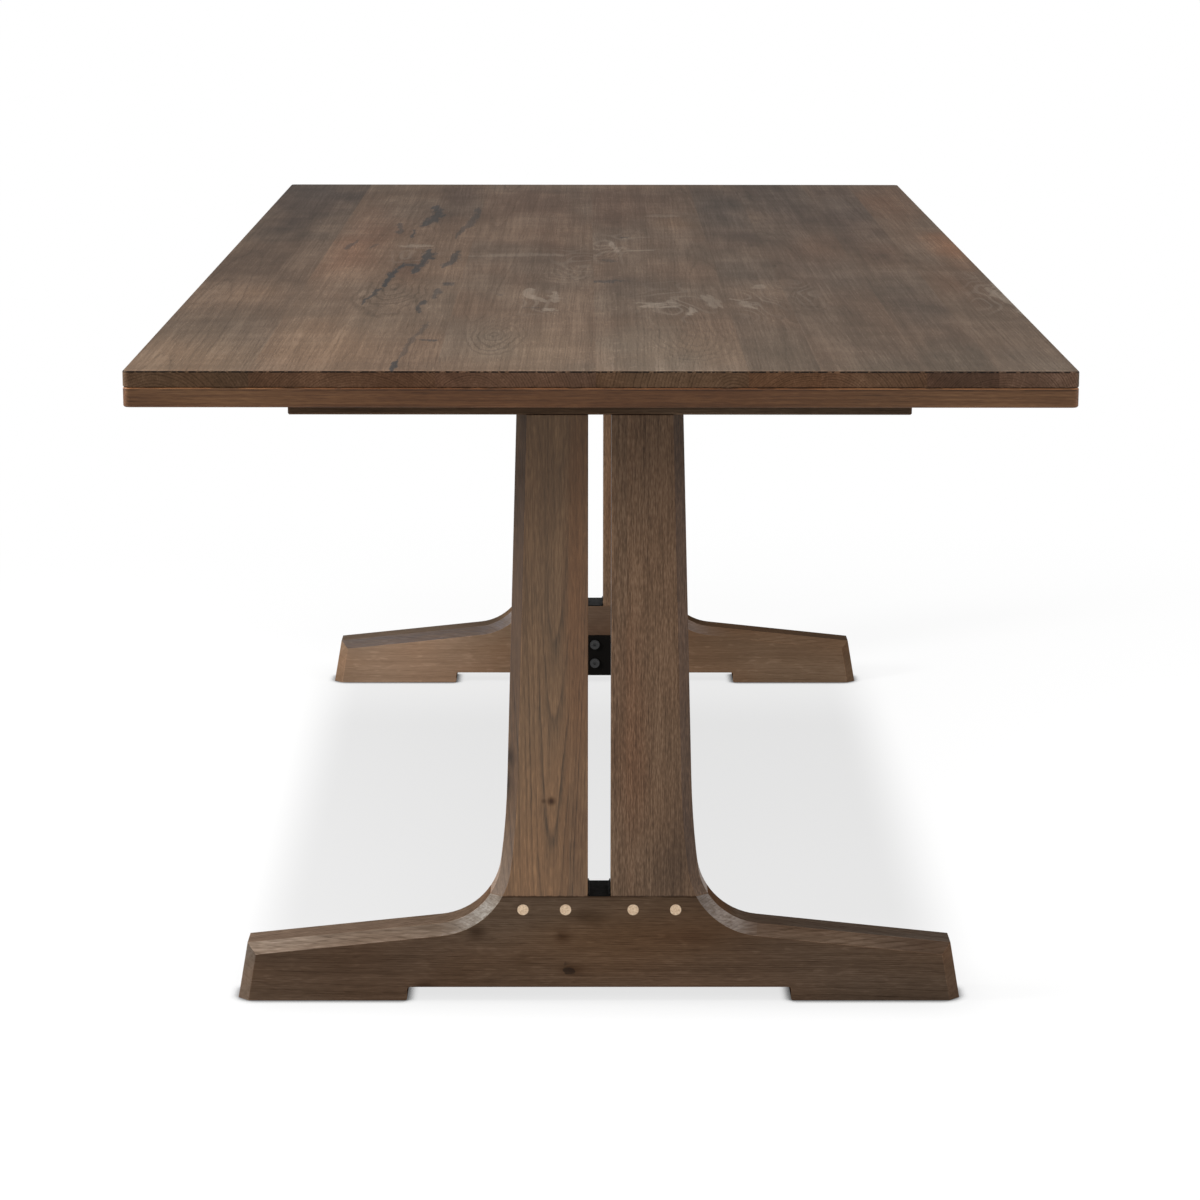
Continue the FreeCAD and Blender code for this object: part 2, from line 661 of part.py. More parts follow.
def foot_half_outline(sketch):
    """Face of the right half of the foot: relief, floor pad, leaning end, slope and tight curve."""
    hollow, radius = vector("hollow_x", "hollow_z"), number("hollow_radius")
    joint = on_hollow(number("foot_height"))
    straight = [("0", "relief_height"), ("relief_length / 2", "relief_height"), ("relief_length / 2", "0"),
                ("foot_length / 2", "0"), ("foot_length / 2 - foot_end_lean", "foot_end_height")]
    spots = [vector(*point) for point in straight]
    touch = tangent_point(spots[-1], hollow, radius, -1)
    crown = vector("0", "foot_height")
    ends = spots + [touch]
    for start, end in zip(ends, ends[1:]):
        sketch.addGeometry(Part.LineSegment(start, end), False)
    slope = len(straight) - 1
    tight, seat, middle = [sketch.addGeometry(shape, False) for shape in (
        arc(hollow, radius, joint, touch),
        Part.LineSegment(joint, crown),
        Part.LineSegment(crown, spots[0]),
    )]
    for index, point in enumerate(straight):
        place_point(sketch, index, START, *point)
        if index:
            constrain(sketch, "Coincident", index - 1, END, index, START)
    constrain(sketch, "Tangent", slope, END, tight, END)
    place_point(sketch, tight, CENTRE, "hollow_x", "hollow_z")
    set_size(sketch, "Radius", (tight,), "hollow_radius")
    constrain(sketch, "Coincident", tight, START, seat, START)
    constrain(sketch, "Horizontal", seat)
    constrain(sketch, "Coincident", seat, END, middle, START)
    place_point(sketch, middle, START, "0", "foot_height")
    constrain(sketch, "Coincident", middle, END, 0, START)


def make_foot(label, y, turned):
    """The long shaped foot, with mortises for both posts."""
    body = new_body(label, "0", y, "0", turned)
    outline = new_sketch(body, "XZ_Plane")
    foot_half_outline(outline)
    half = pad(body, outline, "pedestal_thickness", symmetric=True)
    whole = body.newObject("PartDesign::Mirrored", label + "_mirrored")
    whole.Originals = [half]
    whole.MirrorPlane = ([plane for plane in body.Origin.OriginFeatures if plane.Role == "YZ_Plane"][0], [""])
    body.Tip = whole
    doc.recompute()

    face = number("pedestal_thickness / 2")
    relief, step, high = number("relief_height"), number("relief_length / 2"), number("foot_height")
    dress(body, "Chamfer", "Size", "arris_width",
          lambda spot, way: near_to(abs(spot.y), face) and relief + TOUCH < spot.z < high - TOUCH)
    for size, z in (("relief_radius", relief), ("pad_radius", 0)):
        dress(body, "Fillet", "Radius", size, lambda spot, way: (
            abs(way.y) > 0.9 and near_to(spot.z, z) and near_to(abs(spot.x), step)))

    mortises = new_sketch(body, "XY_Plane", "foot_height")
    thick = "(tenon_thickness / 2 + fit_gap)"
    inner = "(slot_width / 2 + foot_tenon_shoulder - fit_gap)"
    outer = "(slot_width / 2 + foot_tenon_shoulder + foot_tenon_width + fit_gap)"
    rectangle(mortises, inner, "-" + thick, outer, thick)
    rectangle(mortises, "-" + outer, "-" + thick, "-" + inner, thick)
    pocket(body, mortises, "foot_tenon_length + tenon_end_gap")

    bores = new_sketch(body, "XZ_Plane")
    for x in ("-pin_outer_x", "-pin_inner_x", "pin_inner_x", "pin_outer_x"):
        circle(bores, x, "foot_height - pin_drop", "pin_radius + fit_gap")
    pocket(body, bores, "pedestal_thickness", symmetric=True)

    inserts = new_sketch(body, "XZ_Plane", "-pedestal_thickness / 2")
    for z in plate_bolt_heights():
        circle(inserts, "0", z, "insert_radius + fit_gap")
    pocket(body, inserts, "plate_insert_length + drill_past", reverse=True)
    return body


def plate_bolt_heights():
    upper = "%s - plate_bolt_edge" % PLATE_HIGH
    return upper + " - plate_bolt_spacing", upper


def make_crossbar(label, y):
    """The bar that carries the top, with mortises for the posts and slots for the bolts."""
    body = new_body(label, "0", y, UNDER_CROSSBAR)
    outline = new_sketch(body, "XY_Plane")
    rectangle(outline, "-crossbar_length / 2", "-pedestal_thickness / 2",
              "crossbar_length / 2", "pedestal_thickness / 2")
    pad(body, outline, "crossbar_height")
    end = number("crossbar_length / 2")
    dress(body, "Chamfer", "Size", "crossbar_ease", lambda spot, way: (
        near_to(spot.z, 0) and abs(way.z) < TOUCH or near_to(abs(spot.x), end) and abs(way.z) > 0.9))

    thick = "(tenon_thickness / 2 + fit_gap)"
    inner = "(slot_width / 2 + head_tenon_shoulder - fit_gap)"
    outer = "(slot_width / 2 + head_tenon_shoulder + head_tenon_width + fit_gap)"
    mortises = new_sketch(body, "XY_Plane")
    rectangle(mortises, inner, "-" + thick, outer, thick)
    rectangle(mortises, "-" + outer, "-" + thick, "-" + inner, thick)
    pocket(body, mortises, "head_tenon_length + tenon_end_gap", reverse=True)

    for depth, radius in (("crossbar_height", "bolt_hole_radius"), ("bar_bolt_recess", "bar_recess_radius")):
        holes = new_sketch(body, "XY_Plane")
        for _, x in BAR_BOLTS:
            long_hole(holes, x, "0", "slot_travel", radius)
        pocket(body, holes, depth, reverse=True)
    return body


def make_pins(label, y, turned):
    """The four drawbore pins, right through the foot and the tenons in it."""
    pins = []
    for index, x in enumerate(("-pin_outer_x", "-pin_inner_x", "pin_inner_x", "pin_outer_x"), start=1):
        pins.append(primitive("Cylinder", "%s_%d" % (label, index),
                              {"Radius": "pin_radius", "Height": "pedestal_thickness"},
                              x, "pedestal_thickness / 2", "foot_height - pin_drop",
                              axis=FreeCAD.Vector(0, -1, 0)))
    return group(label, pins, y, turned)


def make_shoe(label, y, turned):
    """The channel of bent steel sheet that stands on the foot and keeps the posts apart."""
    body = new_body(label, "0", y, "0", turned)
    outline = new_sketch(body, "XZ_Plane")
    half = "(slot_width / 2 - fit_gap)"
    inside = "(slot_width / 2 - fit_gap - shoe_sheet)"
    low, floor, high = "foot_height", "foot_height + shoe_sheet", "foot_height + shoe_height"
    polygon(outline, [("-" + half, low), (half, low), (half, high), (inside, high), (inside, floor),
                      ("-" + inside, floor), ("-" + inside, high), ("-" + half, high)])
    pad(body, outline, "pedestal_thickness", symmetric=True)
    for x, z, radius in ((half, low, "shoe_bend"), (inside, floor, "shoe_bend - shoe_sheet")):
        corner_x, corner_z = number(x), number(z)
        dress(body, "Fillet", "Radius", radius, lambda spot, way: (
            abs(way.y) > 0.9 and near_to(abs(spot.x), corner_x) and near_to(spot.z, corner_z)))
    return body


def make_plate(label, y, turned):
    """The steel plate on the inner face of the foot."""
    body = new_body(label, "0", y, "0", turned)
    outline = new_sketch(body, "XZ_Plane", "-pedestal_thickness / 2")
    rectangle(outline, "-plate_width / 2", PLATE_LOW, "plate_width / 2", PLATE_HIGH)
    pad(body, outline, "plate_thickness", reverse=True)
    dress(body, "Fillet", "Radius", "plate_radius", lambda spot, way: abs(way.y) > 0.9)
    holes = new_sketch(body, "XZ_Plane", "-pedestal_thickness / 2")
    for z in plate_bolt_heights():
        circle(holes, "0", z, "bolt_radius + fit_gap")
    pocket(body, holes, "plate_thickness")
    return body


def bolt(label, head_radius, head_height, length, x, y, z, axis=None):
    """Socket-head bolt. The head's underside is at the given place and the shank runs along the axis."""
    away = axis.negative() if axis else FreeCAD.Vector(0, 0, -1)
    shank = primitive("Cylinder", label + "_shank",
                      {"Radius": "bolt_radius", "Height": length}, x, y, z, axis)
    head = primitive("Cylinder", label + "_head",
                     {"Radius": head_radius, "Height": head_height}, x, y, z, away)
    mouth = {"y": y, "z": z + " - " + head_height} if axis is None else {"y": y + " + " + head_height, "z": z}
    socket = primitive("Prism", label + "_socket", {"Circumradius": "key_radius", "Height": "key_depth"},
                       x, mouth["y"], mouth["z"], axis)
    return cut(label, fused(label + "_blank", [shank, head]), socket)


def sleeve(label, length, x, y, z, axis=None):
    """Threaded insert, drawn as a plain sleeve round its bolt."""
    outside = primitive("Cylinder", label + "_outside",
                        {"Radius": "insert_radius", "Height": length}, x, y, z, axis)
    inside = primitive("Cylinder", label + "_inside",
                       {"Radius": "bolt_radius + fit_gap", "Height": length}, x, y, z, axis)
    return cut(label, outside, inside)


def make_plate_fixings(side, y, turned):
    """The two bolts through the plate and the inserts that they go into."""
    inward = FreeCAD.Vector(0, -1, 0)
    face = "pedestal_thickness / 2"
    heights = plate_bolt_heights()
    group(side + "_plate_bolts", [
        bolt("%s_plate_bolt_%d" % (side, index), "plate_head_radius", "plate_head_height",
             "plate_thickness + plate_bolt_bite", "0", face + " + plate_thickness", z, inward)
        for index, z in enumerate(heights, start=1)], y, turned)
    group(side + "_plate_inserts", [
        sleeve("%s_plate_insert_%d" % (side, index), "plate_insert_length", "0", face, z, inward)
        for index, z in enumerate(heights, start=1)], y, turned)


def make_bar_fixings(side, y):
    """The bolts that hold the top down on a crossbar, with their washers and inserts."""
    bolts, washers, inserts = [], [], []
    washer_z = BAR_SEAT_Z + " - washer_thickness"
    length = "washer_thickness + crossbar_height - bar_bolt_recess + bar_bolt_bite"
    for letter, x in BAR_BOLTS:
        name = "%s_bar_%%s_%s" % (side, letter)
        bolts.append(bolt(name % "bolt", "bar_head_radius", "bar_head_height", length, x, "0", washer_z))
        disc = primitive("Cylinder", name % "disc",
                         {"Radius": "washer_radius", "Height": "washer_thickness"}, x, "0", washer_z)
        eye = primitive("Cylinder", name % "eye",
                        {"Radius": "bolt_radius + fit_gap", "Height": "washer_thickness"}, x, "0", washer_z)
        washers.append(cut(name % "washer", disc, eye))
        inserts.append(sleeve(name % "insert", "bar_insert_length", x, "0", UNDER_BOARDS))
    group(side + "_bar_bolts", bolts, y)
    group(side + "_bar_washers", washers, y)
    group(side + "_bar_inserts", inserts, y)


def make_pedestal(side, sign, turned):
    y = sign + PEDESTAL_Y
    make_crossbar(side + "_crossbar", y)
    left, right = ("right", "left") if turned else ("left", "right")
    make_post("%s_post_%s" % (side, right), y, turned)
    make_post("%s_post_%s" % (side, left), y, not turned)
    make_foot(side + "_foot", y, turned)
    make_pins(side + "_foot_pins", y, turned)
    make_shoe(side + "_slot_shoe", y, turned)
    make_plate(side + "_foot_plate", y, turned)
    make_plate_fixings(side, y, turned)
    make_bar_fixings(side, y)


# ---------------------------------------------------------------- assembly and output

def check_and_write():
    """Stops on any failed object, then writes each piece to a file named after it."""
    doc.recompute()
    for thing in doc.Objects:
        if "Invalid" in thing.State or "Error" in thing.State:
            raise RuntimeError("failed object: " + thing.Label)
    os.makedirs("parts", exist_ok=True)
    for piece in pieces:
        if piece.Shape.isNull() or not piece.Shape.isValid():
            raise RuntimeError("bad shape: " + piece.Label)
        piece.Shape.exportStep("parts/%s.step" % piece.Label)
        print(piece.Label, len(piece.Shape.Solids), round(piece.Shape.Volume))


for board in BOARDS:
    make_board(board)
make_edge_splines()
make_rail("rail_near", "", "-")
make_rail("rail_far", "", "+")
make_rail("rail_left", "-", "")
make_rail("rail_right", "+", "")
make_mitre_splines()
make_batten()
make_screws("end_rail_screws", ["-" + END_SCREW_Y, END_SCREW_Y])
make_screws("batten_screws", ["0"])
make_pedestal("near", "-", False)
make_pedestal("far", "", True)
check_and_write()
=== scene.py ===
"""Looks of the trestle dining table: smoked oak, black steel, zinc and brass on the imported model.

The frame is the part's own, in metres: X across the top, Y along it from the near trestle to
the far one, Z up, with the origin on the floor. Every oak piece is cut from a log of its own:
its material draws growth rings round a pith line that runs beside the piece, so faces show
long grain and ends show the arcs of the same rings.
"""
import json
import math

import bpy
from mathutils import Matrix, Vector


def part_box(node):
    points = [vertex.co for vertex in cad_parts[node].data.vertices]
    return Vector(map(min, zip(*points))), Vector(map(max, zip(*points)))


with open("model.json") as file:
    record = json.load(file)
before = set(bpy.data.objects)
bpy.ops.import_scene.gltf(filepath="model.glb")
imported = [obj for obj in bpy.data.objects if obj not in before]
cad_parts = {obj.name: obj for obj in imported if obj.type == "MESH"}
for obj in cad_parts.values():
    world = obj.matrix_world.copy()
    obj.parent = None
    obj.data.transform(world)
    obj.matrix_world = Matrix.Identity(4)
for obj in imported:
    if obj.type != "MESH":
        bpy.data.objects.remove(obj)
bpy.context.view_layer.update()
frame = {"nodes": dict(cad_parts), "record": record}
nodes = frame["nodes"]

# ---------------------------------------------------------------- node helpers


def add(tree, kind, inputs=(), **settings):
    """Adds a shader node. An input's value is a plain one or another node's output."""
    made = tree.nodes.new("ShaderNode" + kind)
    for name, value in settings.items():
        setattr(made, name, value)
    for key, value in dict(inputs).items():
        if isinstance(value, bpy.types.NodeSocket):
            tree.links.new(value, made.inputs[key])
        else:
            made.inputs[key].default_value = value
    return made


def calc(tree, operation, *values, clamp=False):
    """One sum of a Math node."""
    return add(tree, "Math", enumerate(values), operation=operation, use_clamp=clamp).outputs[0]


def total(tree, *values):
    """Adds up outputs and numbers."""
    result = values[0]
    for value in values[1:]:
        result = calc(tree, "ADD", result, value)
    return result


def scaled(tree, value, factor, middle=0.0):
    """(value - middle) * factor."""
    return calc(tree, "MULTIPLY_ADD", value, factor, -middle * factor)


def vector(tree, operation, *values):
    """One sum of a Vector Math node: a number for a length or a dot product, else a vector."""
    made = add(tree, "VectorMath", enumerate(values), operation=operation)
    return made.outputs["Value" if operation in ("LENGTH", "DISTANCE", "DOT_PRODUCT") else "Vector"]


def noise(tree, point, stretch=(1, 1, 1), detail=2.0, roughness=0.5, output="Fac"):
    """Smooth noise; stretch is how many times it repeats in a metre, along each axis."""
    made = add(tree, "TexNoise", {"Vector": vector(tree, "MULTIPLY", point, stretch), "Scale": 1.0,
                                  "Detail": detail, "Roughness": roughness})
    return made.outputs[output]


def ramp(tree, value, start, end, low=0.0, high=1.0):
    """Goes smoothly from low to high as value goes from start to end."""
    made = add(tree, "MapRange", {"Value": value, "From Min": start, "From Max": end, "To Min": low,
                                  "To Max": high}, interpolation_type="SMOOTHSTEP", clamp=True)
    return made.outputs["Result"]


def blend(tree, share, first, second, kind="MIX"):
    """Mixes two colours."""
    made = add(tree, "Mix", {0: share, 6: first, 7: second}, data_type="RGBA", blend_type=kind)
    return made.outputs[2]


def new_group(name, inputs, outputs):
    """An empty node group. inputs and outputs are names with "Float" or "Vector"."""
    tree = bpy.data.node_groups.new(name, "ShaderNodeTree")
    for label, kind in inputs.items():
        tree.interface.new_socket(label, in_out="INPUT", socket_type="NodeSocket" + kind)
    for label, kind in outputs.items():
        tree.interface.new_socket(label, in_out="OUTPUT", socket_type="NodeSocket" + kind)
    return tree, tree.nodes.new("NodeGroupInput").outputs, tree.nodes.new("NodeGroupOutput").inputs


def new_material(name):
    """A material with an empty tree, and the point in the frame, in metres."""
    material = bpy.data.materials.new(name)
    material.use_nodes = True
    material.node_tree.nodes.clear()
    point = add(material.node_tree, "TexCoord").outputs["Object"]
    return material, material.node_tree, point


def finish_material(tree, inputs):
    """Gives the tree its Principled shader with these inputs, and the output."""
    shader = add(tree, "BsdfPrincipled", inputs)
    add(tree, "OutputMaterial", {"Surface": shader.outputs[0]})


# ---------------------------------------------------------------- oak

SCALES = {  # how often each pattern repeats in a metre: across, deep, along
    "slow bend": (6.0, 6.0, 1.1),
    "ripple": (42.0, 42.0, 7.0),
    "pores": (560.0, 560.0, 30.0),
    "fibres": (300.0, 300.0, 5.0),
    "dashes": (820.0, 820.0, 85.0),
    "stripes": (55.0, 55.0, 0.9),
    "clouds": (11.0, 11.0, 4.0),
    "curl": (8.0, 8.0, 26.0),
    "veins": (17.0, 17.0, 5.5),
    "hue": (7.0, 7.0, 2.5),
    "ragged edge": (170.0, 170.0, 30.0),
}
RIPPLE = 0.0030  # how far the ripple pushes the rings, in metres
RING_DARKENS, RING_FADES = 0.16, 3.2  # the share of a year that darkens, and how fast the dark fades
RING_STRENGTH, RING_FLOOR = 1.1, -0.15  # years differ; the floor keeps the weakest ring visible
PORES_OPEN = (0.53, 0.62)
RAY_SCALE = (60.0, 16.0, 48.0)  # round the pith in a radian, outwards and along in a metre
RAYS_SHOW = (0.60, 0.72)
VEIN_COUNT = 11  # nested lines from the lowest to the highest value of their noise


def grain_group():
    """What oak shows at a point (across, deep, along) from the pith of its log.

    Place is the same point in the frame, so that clouds and curl run on from board to board,
    and Flecks is how many more flecks than usual there are along each axis.

    Rings is the dark start of each year's growth, Pores the open vessels in it, Dashes the
    short flecks of cut cells, Fibres fine streaks, Stripes broad ones, Clouds slow patches,
    Curl bands across the grain and Rays the pale sheets that run out from the pith. Veins are
    nested winding lines, and Edge is a noise that frays the marks. Dashes, Fibres, Stripes,
    Clouds, Curl and Edge lie around zero.
    """
    names = ("Rings", "Pores", "Dashes", "Fibres", "Stripes", "Clouds", "Curl", "Rays", "Veins", "Edge")
    tree, given, result = new_group(
        "oak grain",
        {"Point": "Vector", "Place": "Vector", "Ring": "Float", "Taper": "Float", "Bend": "Float",
         "Swell": "Float", "Flecks": "Vector"},
        {name: "Float" for name in names})
    point = given["Point"]
    moved = point
    for pattern, size in (("slow bend", given["Bend"]), ("ripple", RIPPLE)):
        shift = vector(tree, "SUBTRACT", noise(tree, point, SCALES[pattern], output="Color"), (0.5,) * 3)
        shift = add(tree, "VectorMath", {0: shift, "Scale": size}, operation="SCALE").outputs[0]
        moved = vector(tree, "ADD", moved, shift)
    parts = add(tree, "SeparateXYZ", {0: moved}).outputs
    radius = total(tree, vector(tree, "LENGTH", vector(tree, "MULTIPLY", moved, (1, 1, 0))),
                   given["Swell"], calc(tree, "MULTIPLY", parts["Z"], given["Taper"]))
    years = calc(tree, "DIVIDE", radius, given["Ring"])
    through = calc(tree, "FRACT", years)
    strength = add(tree, "TexWhiteNoise", {"W": calc(tree, "FLOOR", years)},
                   noise_dimensions="1D").outputs["Value"]
    fade = calc(tree, "POWER", calc(tree, "SUBTRACT", 1.0, through), RING_FADES)
    rings = calc(tree, "MULTIPLY", fade, ramp(tree, through, 0.0, RING_DARKENS))
    rings = calc(tree, "MULTIPLY", rings, scaled(tree, strength, RING_STRENGTH, RING_FLOOR))
    open_pores = ramp(tree, noise(tree, point, SCALES["pores"], 1.0), *PORES_OPEN)
    pores = calc(tree, "MULTIPLY", open_pores, scaled(tree, rings, 0.7, -0.55))
    flecks = vector(tree, "MULTIPLY", point, given["Flecks"])
    turn = calc(tree, "ARCTAN2", parts["Y"], parts["X"])
    sheet = add(tree, "CombineXYZ", {0: turn, 1: radius, 2: parts["Z"]}).outputs[0]
    rays = ramp(tree, noise(tree, sheet, RAY_SCALE, detail=1.0), *RAYS_SHOW)
    vein = calc(tree, "SINE", scaled(tree, noise(tree, moved, SCALES["veins"], 0.5), VEIN_COUNT * math.tau))
    found = {"Rings": rings, "Pores": pores, "Rays": rays, "Veins": ramp(tree, vein, 0.2, 1.0)}
    around_zero = {
        "Dashes": noise(tree, flecks, SCALES["dashes"], 1.0),
        "Fibres": noise(tree, point, SCALES["fibres"], 4.0, 0.6),
        "Stripes": noise(tree, moved, SCALES["stripes"], 3.0, 0.6),
        "Clouds": noise(tree, given["Place"], SCALES["clouds"], 3.0, 0.55),
        "Curl": noise(tree, given["Place"], SCALES["curl"], 2.0, 0.45),
        "Edge": noise(tree, point, SCALES["ragged edge"], 3.0, 0.6),
    }
    for label, value in around_zero.items():
        found[label] = scaled(tree, value, 1.0, 0.5)
    for label, value in found.items():
        tree.links.new(value, result[label])
    return tree


def spot_group():
    """A ragged blob: 1 at its centre, 0 where it ends. Reach is its half size along each axis."""
    tree, given, result = new_group(
        "ragged spot", {"Point": "Vector", "Centre": "Vector", "Reach": "Vector", "Fray": "Float"},
        {"Share": "Float"})
    away = vector(tree, "DIVIDE", vector(tree, "SUBTRACT", given["Point"], given["Centre"]),
                  given["Reach"])
    far = calc(tree, "ADD", vector(tree, "LENGTH", away), given["Fray"])
    tree.links.new(ramp(tree, far, 1.0, 0.0), result["Share"])
    return tree


def stroke_group():
    """A ragged line from Start to End, thin at both: 1 along it, 0 where it ends.

    Width is its half width in the middle, and at its ends it is a third as wide.
    """
    tree, given, result = new_group(
        "ragged stroke",
        {"Point": "Vector", "Start": "Vector", "End": "Vector", "Width": "Float", "Fray": "Float"},
        {"Share": "Float"})
    line = vector(tree, "SUBTRACT", given["End"], given["Start"])
    away = vector(tree, "SUBTRACT", given["Point"], given["Start"])
    along = calc(tree, "DIVIDE", vector(tree, "DOT_PRODUCT", away, line),
                 vector(tree, "DOT_PRODUCT", line, line), clamp=True)
    nearest = add(tree, "VectorMath", {0: line, "Scale": along}, operation="SCALE").outputs[0]
    off = vector(tree, "LENGTH", vector(tree, "SUBTRACT", away, nearest))
    middle = calc(tree, "MULTIPLY", along, calc(tree, "SUBTRACT", 1.0, along))
    width = calc(tree, "MULTIPLY", given["Width"], ramp(tree, middle, 0.0, 0.16, 0.35, 1.0))
    far = calc(tree, "ADD", calc(tree, "DIVIDE", off, width), given["Fray"])
    tree.links.new(ramp(tree, far, 1.2, 0.5), result["Share"])
    return tree


def eye_group():
    """Rings round a place where a branch grew: nested arcs, open towards the far end."""
    tree, given, result = new_group(
        "eye",
        {"Point": "Vector", "Centre": "Vector", "Reach": "Vector", "Fray": "Float", "Count": "Float"},
        {"Lines": "Float"})
    away = vector(tree, "DIVIDE", vector(tree, "SUBTRACT", given["Point"], given["Centre"]),
                  given["Reach"])
    far = calc(tree, "ADD", vector(tree, "LENGTH", away), given["Fray"])
    wave = calc(tree, "SINE", scaled(tree, calc(tree, "MULTIPLY", far, given["Count"]), math.tau))
    beyond = add(tree, "SeparateXYZ", {0: away}).outputs["Y"]
    window = calc(tree, "MULTIPLY", ramp(tree, far, 1.0, 0.75),
                  ramp(tree, beyond, 0.5, -0.2, 0.15, 1.0))
    tree.links.new(calc(tree, "MULTIPLY", ramp(tree, wave, 0.1, 0.9), window), result["Lines"])
    return tree


GRAIN = grain_group()
SPOT = spot_group()
STROKE = stroke_group()
EYE = eye_group()


def use(tree, group, fray=None, **inputs):
    """One of the groups above, with its inputs set or linked. fray is a noise and how much it counts."""
    made = add(tree, "Group", node_tree=group)
    if fray:
        inputs["Fray"] = scaled(tree, *fray)
    for label, value in inputs.items():
        if isinstance(value, bpy.types.NodeSocket):
            tree.links.new(value, made.inputs[label])
        else:
            made.inputs[label].default_value = value
    return made.outputs


def spot(tree, point, centre, reach, fray=None):
    """How much the point belongs to a ragged blob."""
    return use(tree, SPOT, fray, Point=point, Centre=centre, Reach=reach)["Share"]


ALONG = {"x": "YZX", "y": "XZY", "z": "XYZ"}
AXES = {"x": (1, 0, 0), "y": (0, 1, 0), "z": (0, 0, 1)}
SMOKE, PALE = (0.012, 0.010, 0.009, 1), (0.30, 0.25, 0.20, 1)  # colours of cracks and of pale strokes
COOL, WARM = (0.95, 1.00, 1.03, 1), (1.06, 0.97, 0.89, 1)  # tints
# END_TINT is for end grain. The edge tint lightens the edges, partly as wear and partly as a painted
# highlight.
END_TINT, WORN_AND_HIGHLIT = (1.22, 0.95, 0.82, 1), (1.75, 1.65, 1.55, 1)
MIDDLE_SHADE = 0.52  # plain wood, between the dark tone at 0 and the light one at 1
END_RINGS = -0.30  # how much darker the rings are on end grain
FACES_WAY = (0.80, 0.94)  # how nearly a face has to look the way that a tint asks for; most such tints are painted sheen and shade
FRAY = {"bold": 1.5, "patches": 1.2, "flares": 1.0, "pale": 2.4, "cracks": 3.2}
WINDING = (0.06, 0.10)  # how far clouds and curl bend the strokes, in metres
WEAR_AND_HIGHLIGHT_RADIUS = 0.0016
RELIEF = {"Fibres": 0.5, "Pores": -1.0, "Rings": -0.5}

# How much each pattern counts: on the boards, on the near foot and the batten, on the left posts,
# on the rails and crossbars, on the far foot, and on the right posts.
BOARD_FIGURE = {"Clouds": 0.60, "Curl": 0.22, "Fibres": 0.45, "Stripes": 0.46, "Rings": -0.16,
                "Pores": -0.12, "Dashes": 0.20, "Rays": 0.10}
BASE_FIGURE = {"Clouds": 0.40, "Curl": 0.05, "Fibres": 0.34, "Stripes": 0.36, "Rings": -0.22,
               "Pores": -0.16, "Dashes": 0.26, "Rays": 0.08}
SMOOTH_FIGURE = {"Clouds": 0.45, "Curl": 0.05, "Fibres": 0.42, "Stripes": 0.34, "Rings": -0.14,
                 "Pores": -0.10, "Dashes": 0.45, "Rays": 0.05}
EDGE_FIGURE = {"Clouds": 0.50, "Curl": 0.08, "Fibres": 0.62, "Stripes": 0.55, "Rings": -0.20,
               "Pores": -0.20, "Dashes": 0.30, "Rays": 0.08}
FAR_FIGURE = {"Clouds": 0.40, "Curl": 0.05, "Fibres": 0.20, "Stripes": 0.26, "Rings": -0.12,
              "Pores": -0.08, "Dashes": 0.15, "Rays": 0.08}
OPEN_FIGURE = {"Clouds": 0.30, "Curl": 0.05, "Fibres": 0.62, "Stripes": 0.25, "Rings": -0.15,
               "Pores": -0.26, "Dashes": 0.76, "Rays": 0.05}


def log_points(tree, point, along, pith, stave):
    """The point as (across, deep, along the grain), from the pith and from the frame's origin."""
    place = add(tree, "SeparateXYZ", {0: point}).outputs
    if stave:
        axis, limit, other = stave
        share = calc(tree, "GREATER_THAN", place[axis], limit)
        pith = add(tree, "Mix", {0: share, 4: pith, 5: other}, data_type="VECTOR").outputs[1]
    from_pith = add(tree, "SeparateXYZ", {0: vector(tree, "SUBTRACT", point, pith)}).outputs
    across, deep, length = ALONG[along]
    return [add(tree, "CombineXYZ", {0: parts[across], 1: parts[deep], 2: parts[length]}).outputs[0]
            for parts in (from_pith, place)]


def wood_shade(tree, point, seen, end, figure, marks):
    """How light the wood is: its figure, its bold places and its eyes."""
    shade = calc(tree, "MULTIPLY_ADD", seen["Rings"], scaled(tree, end, END_RINGS), MIDDLE_SHADE)
    for pattern, weight in figure.items():
        shade = total(tree, shade, scaled(tree, seen[pattern], weight))
    for centre, reach, weight in marks.get("bold", ()):
        share = spot(tree, point, centre, reach, (seen["Clouds"], FRAY["bold"]))
        shade = total(tree, shade, calc(tree, "MULTIPLY", seen["Rings"], scaled(tree, share, weight)))
    for centre, reach, count, weight in marks.get("eyes", ()):
        wander = total(tree, scaled(tree, seen["Edge"], 0.15), scaled(tree, seen["Clouds"], 1.1))
        lines = use(tree, EYE, (wander, 1.0), Point=point, Centre=centre, Reach=reach, Count=count)
        shade = total(tree, shade, scaled(tree, lines["Lines"], weight))
    return shade


def wood_colour(tree, shade, tones, board, warmth):
    """The dark, middle and light tones, in places a little cooler or warmer."""
    colours = add(tree, "ValToRGB", {0: shade})
    stops = colours.color_ramp.elements
    stops[0].position, stops[1].position = 0.05, 0.95
    stops.new(0.5)
    for stop, tone in zip(stops, tones):
        stop.color = (*tone, 1)
    hue = blend(tree, ramp(tree, noise(tree, board, SCALES["hue"]), 0.36, 0.64), COOL, WARM)
    return blend(tree, warmth, colours.outputs[0], hue, "MULTIPLY")


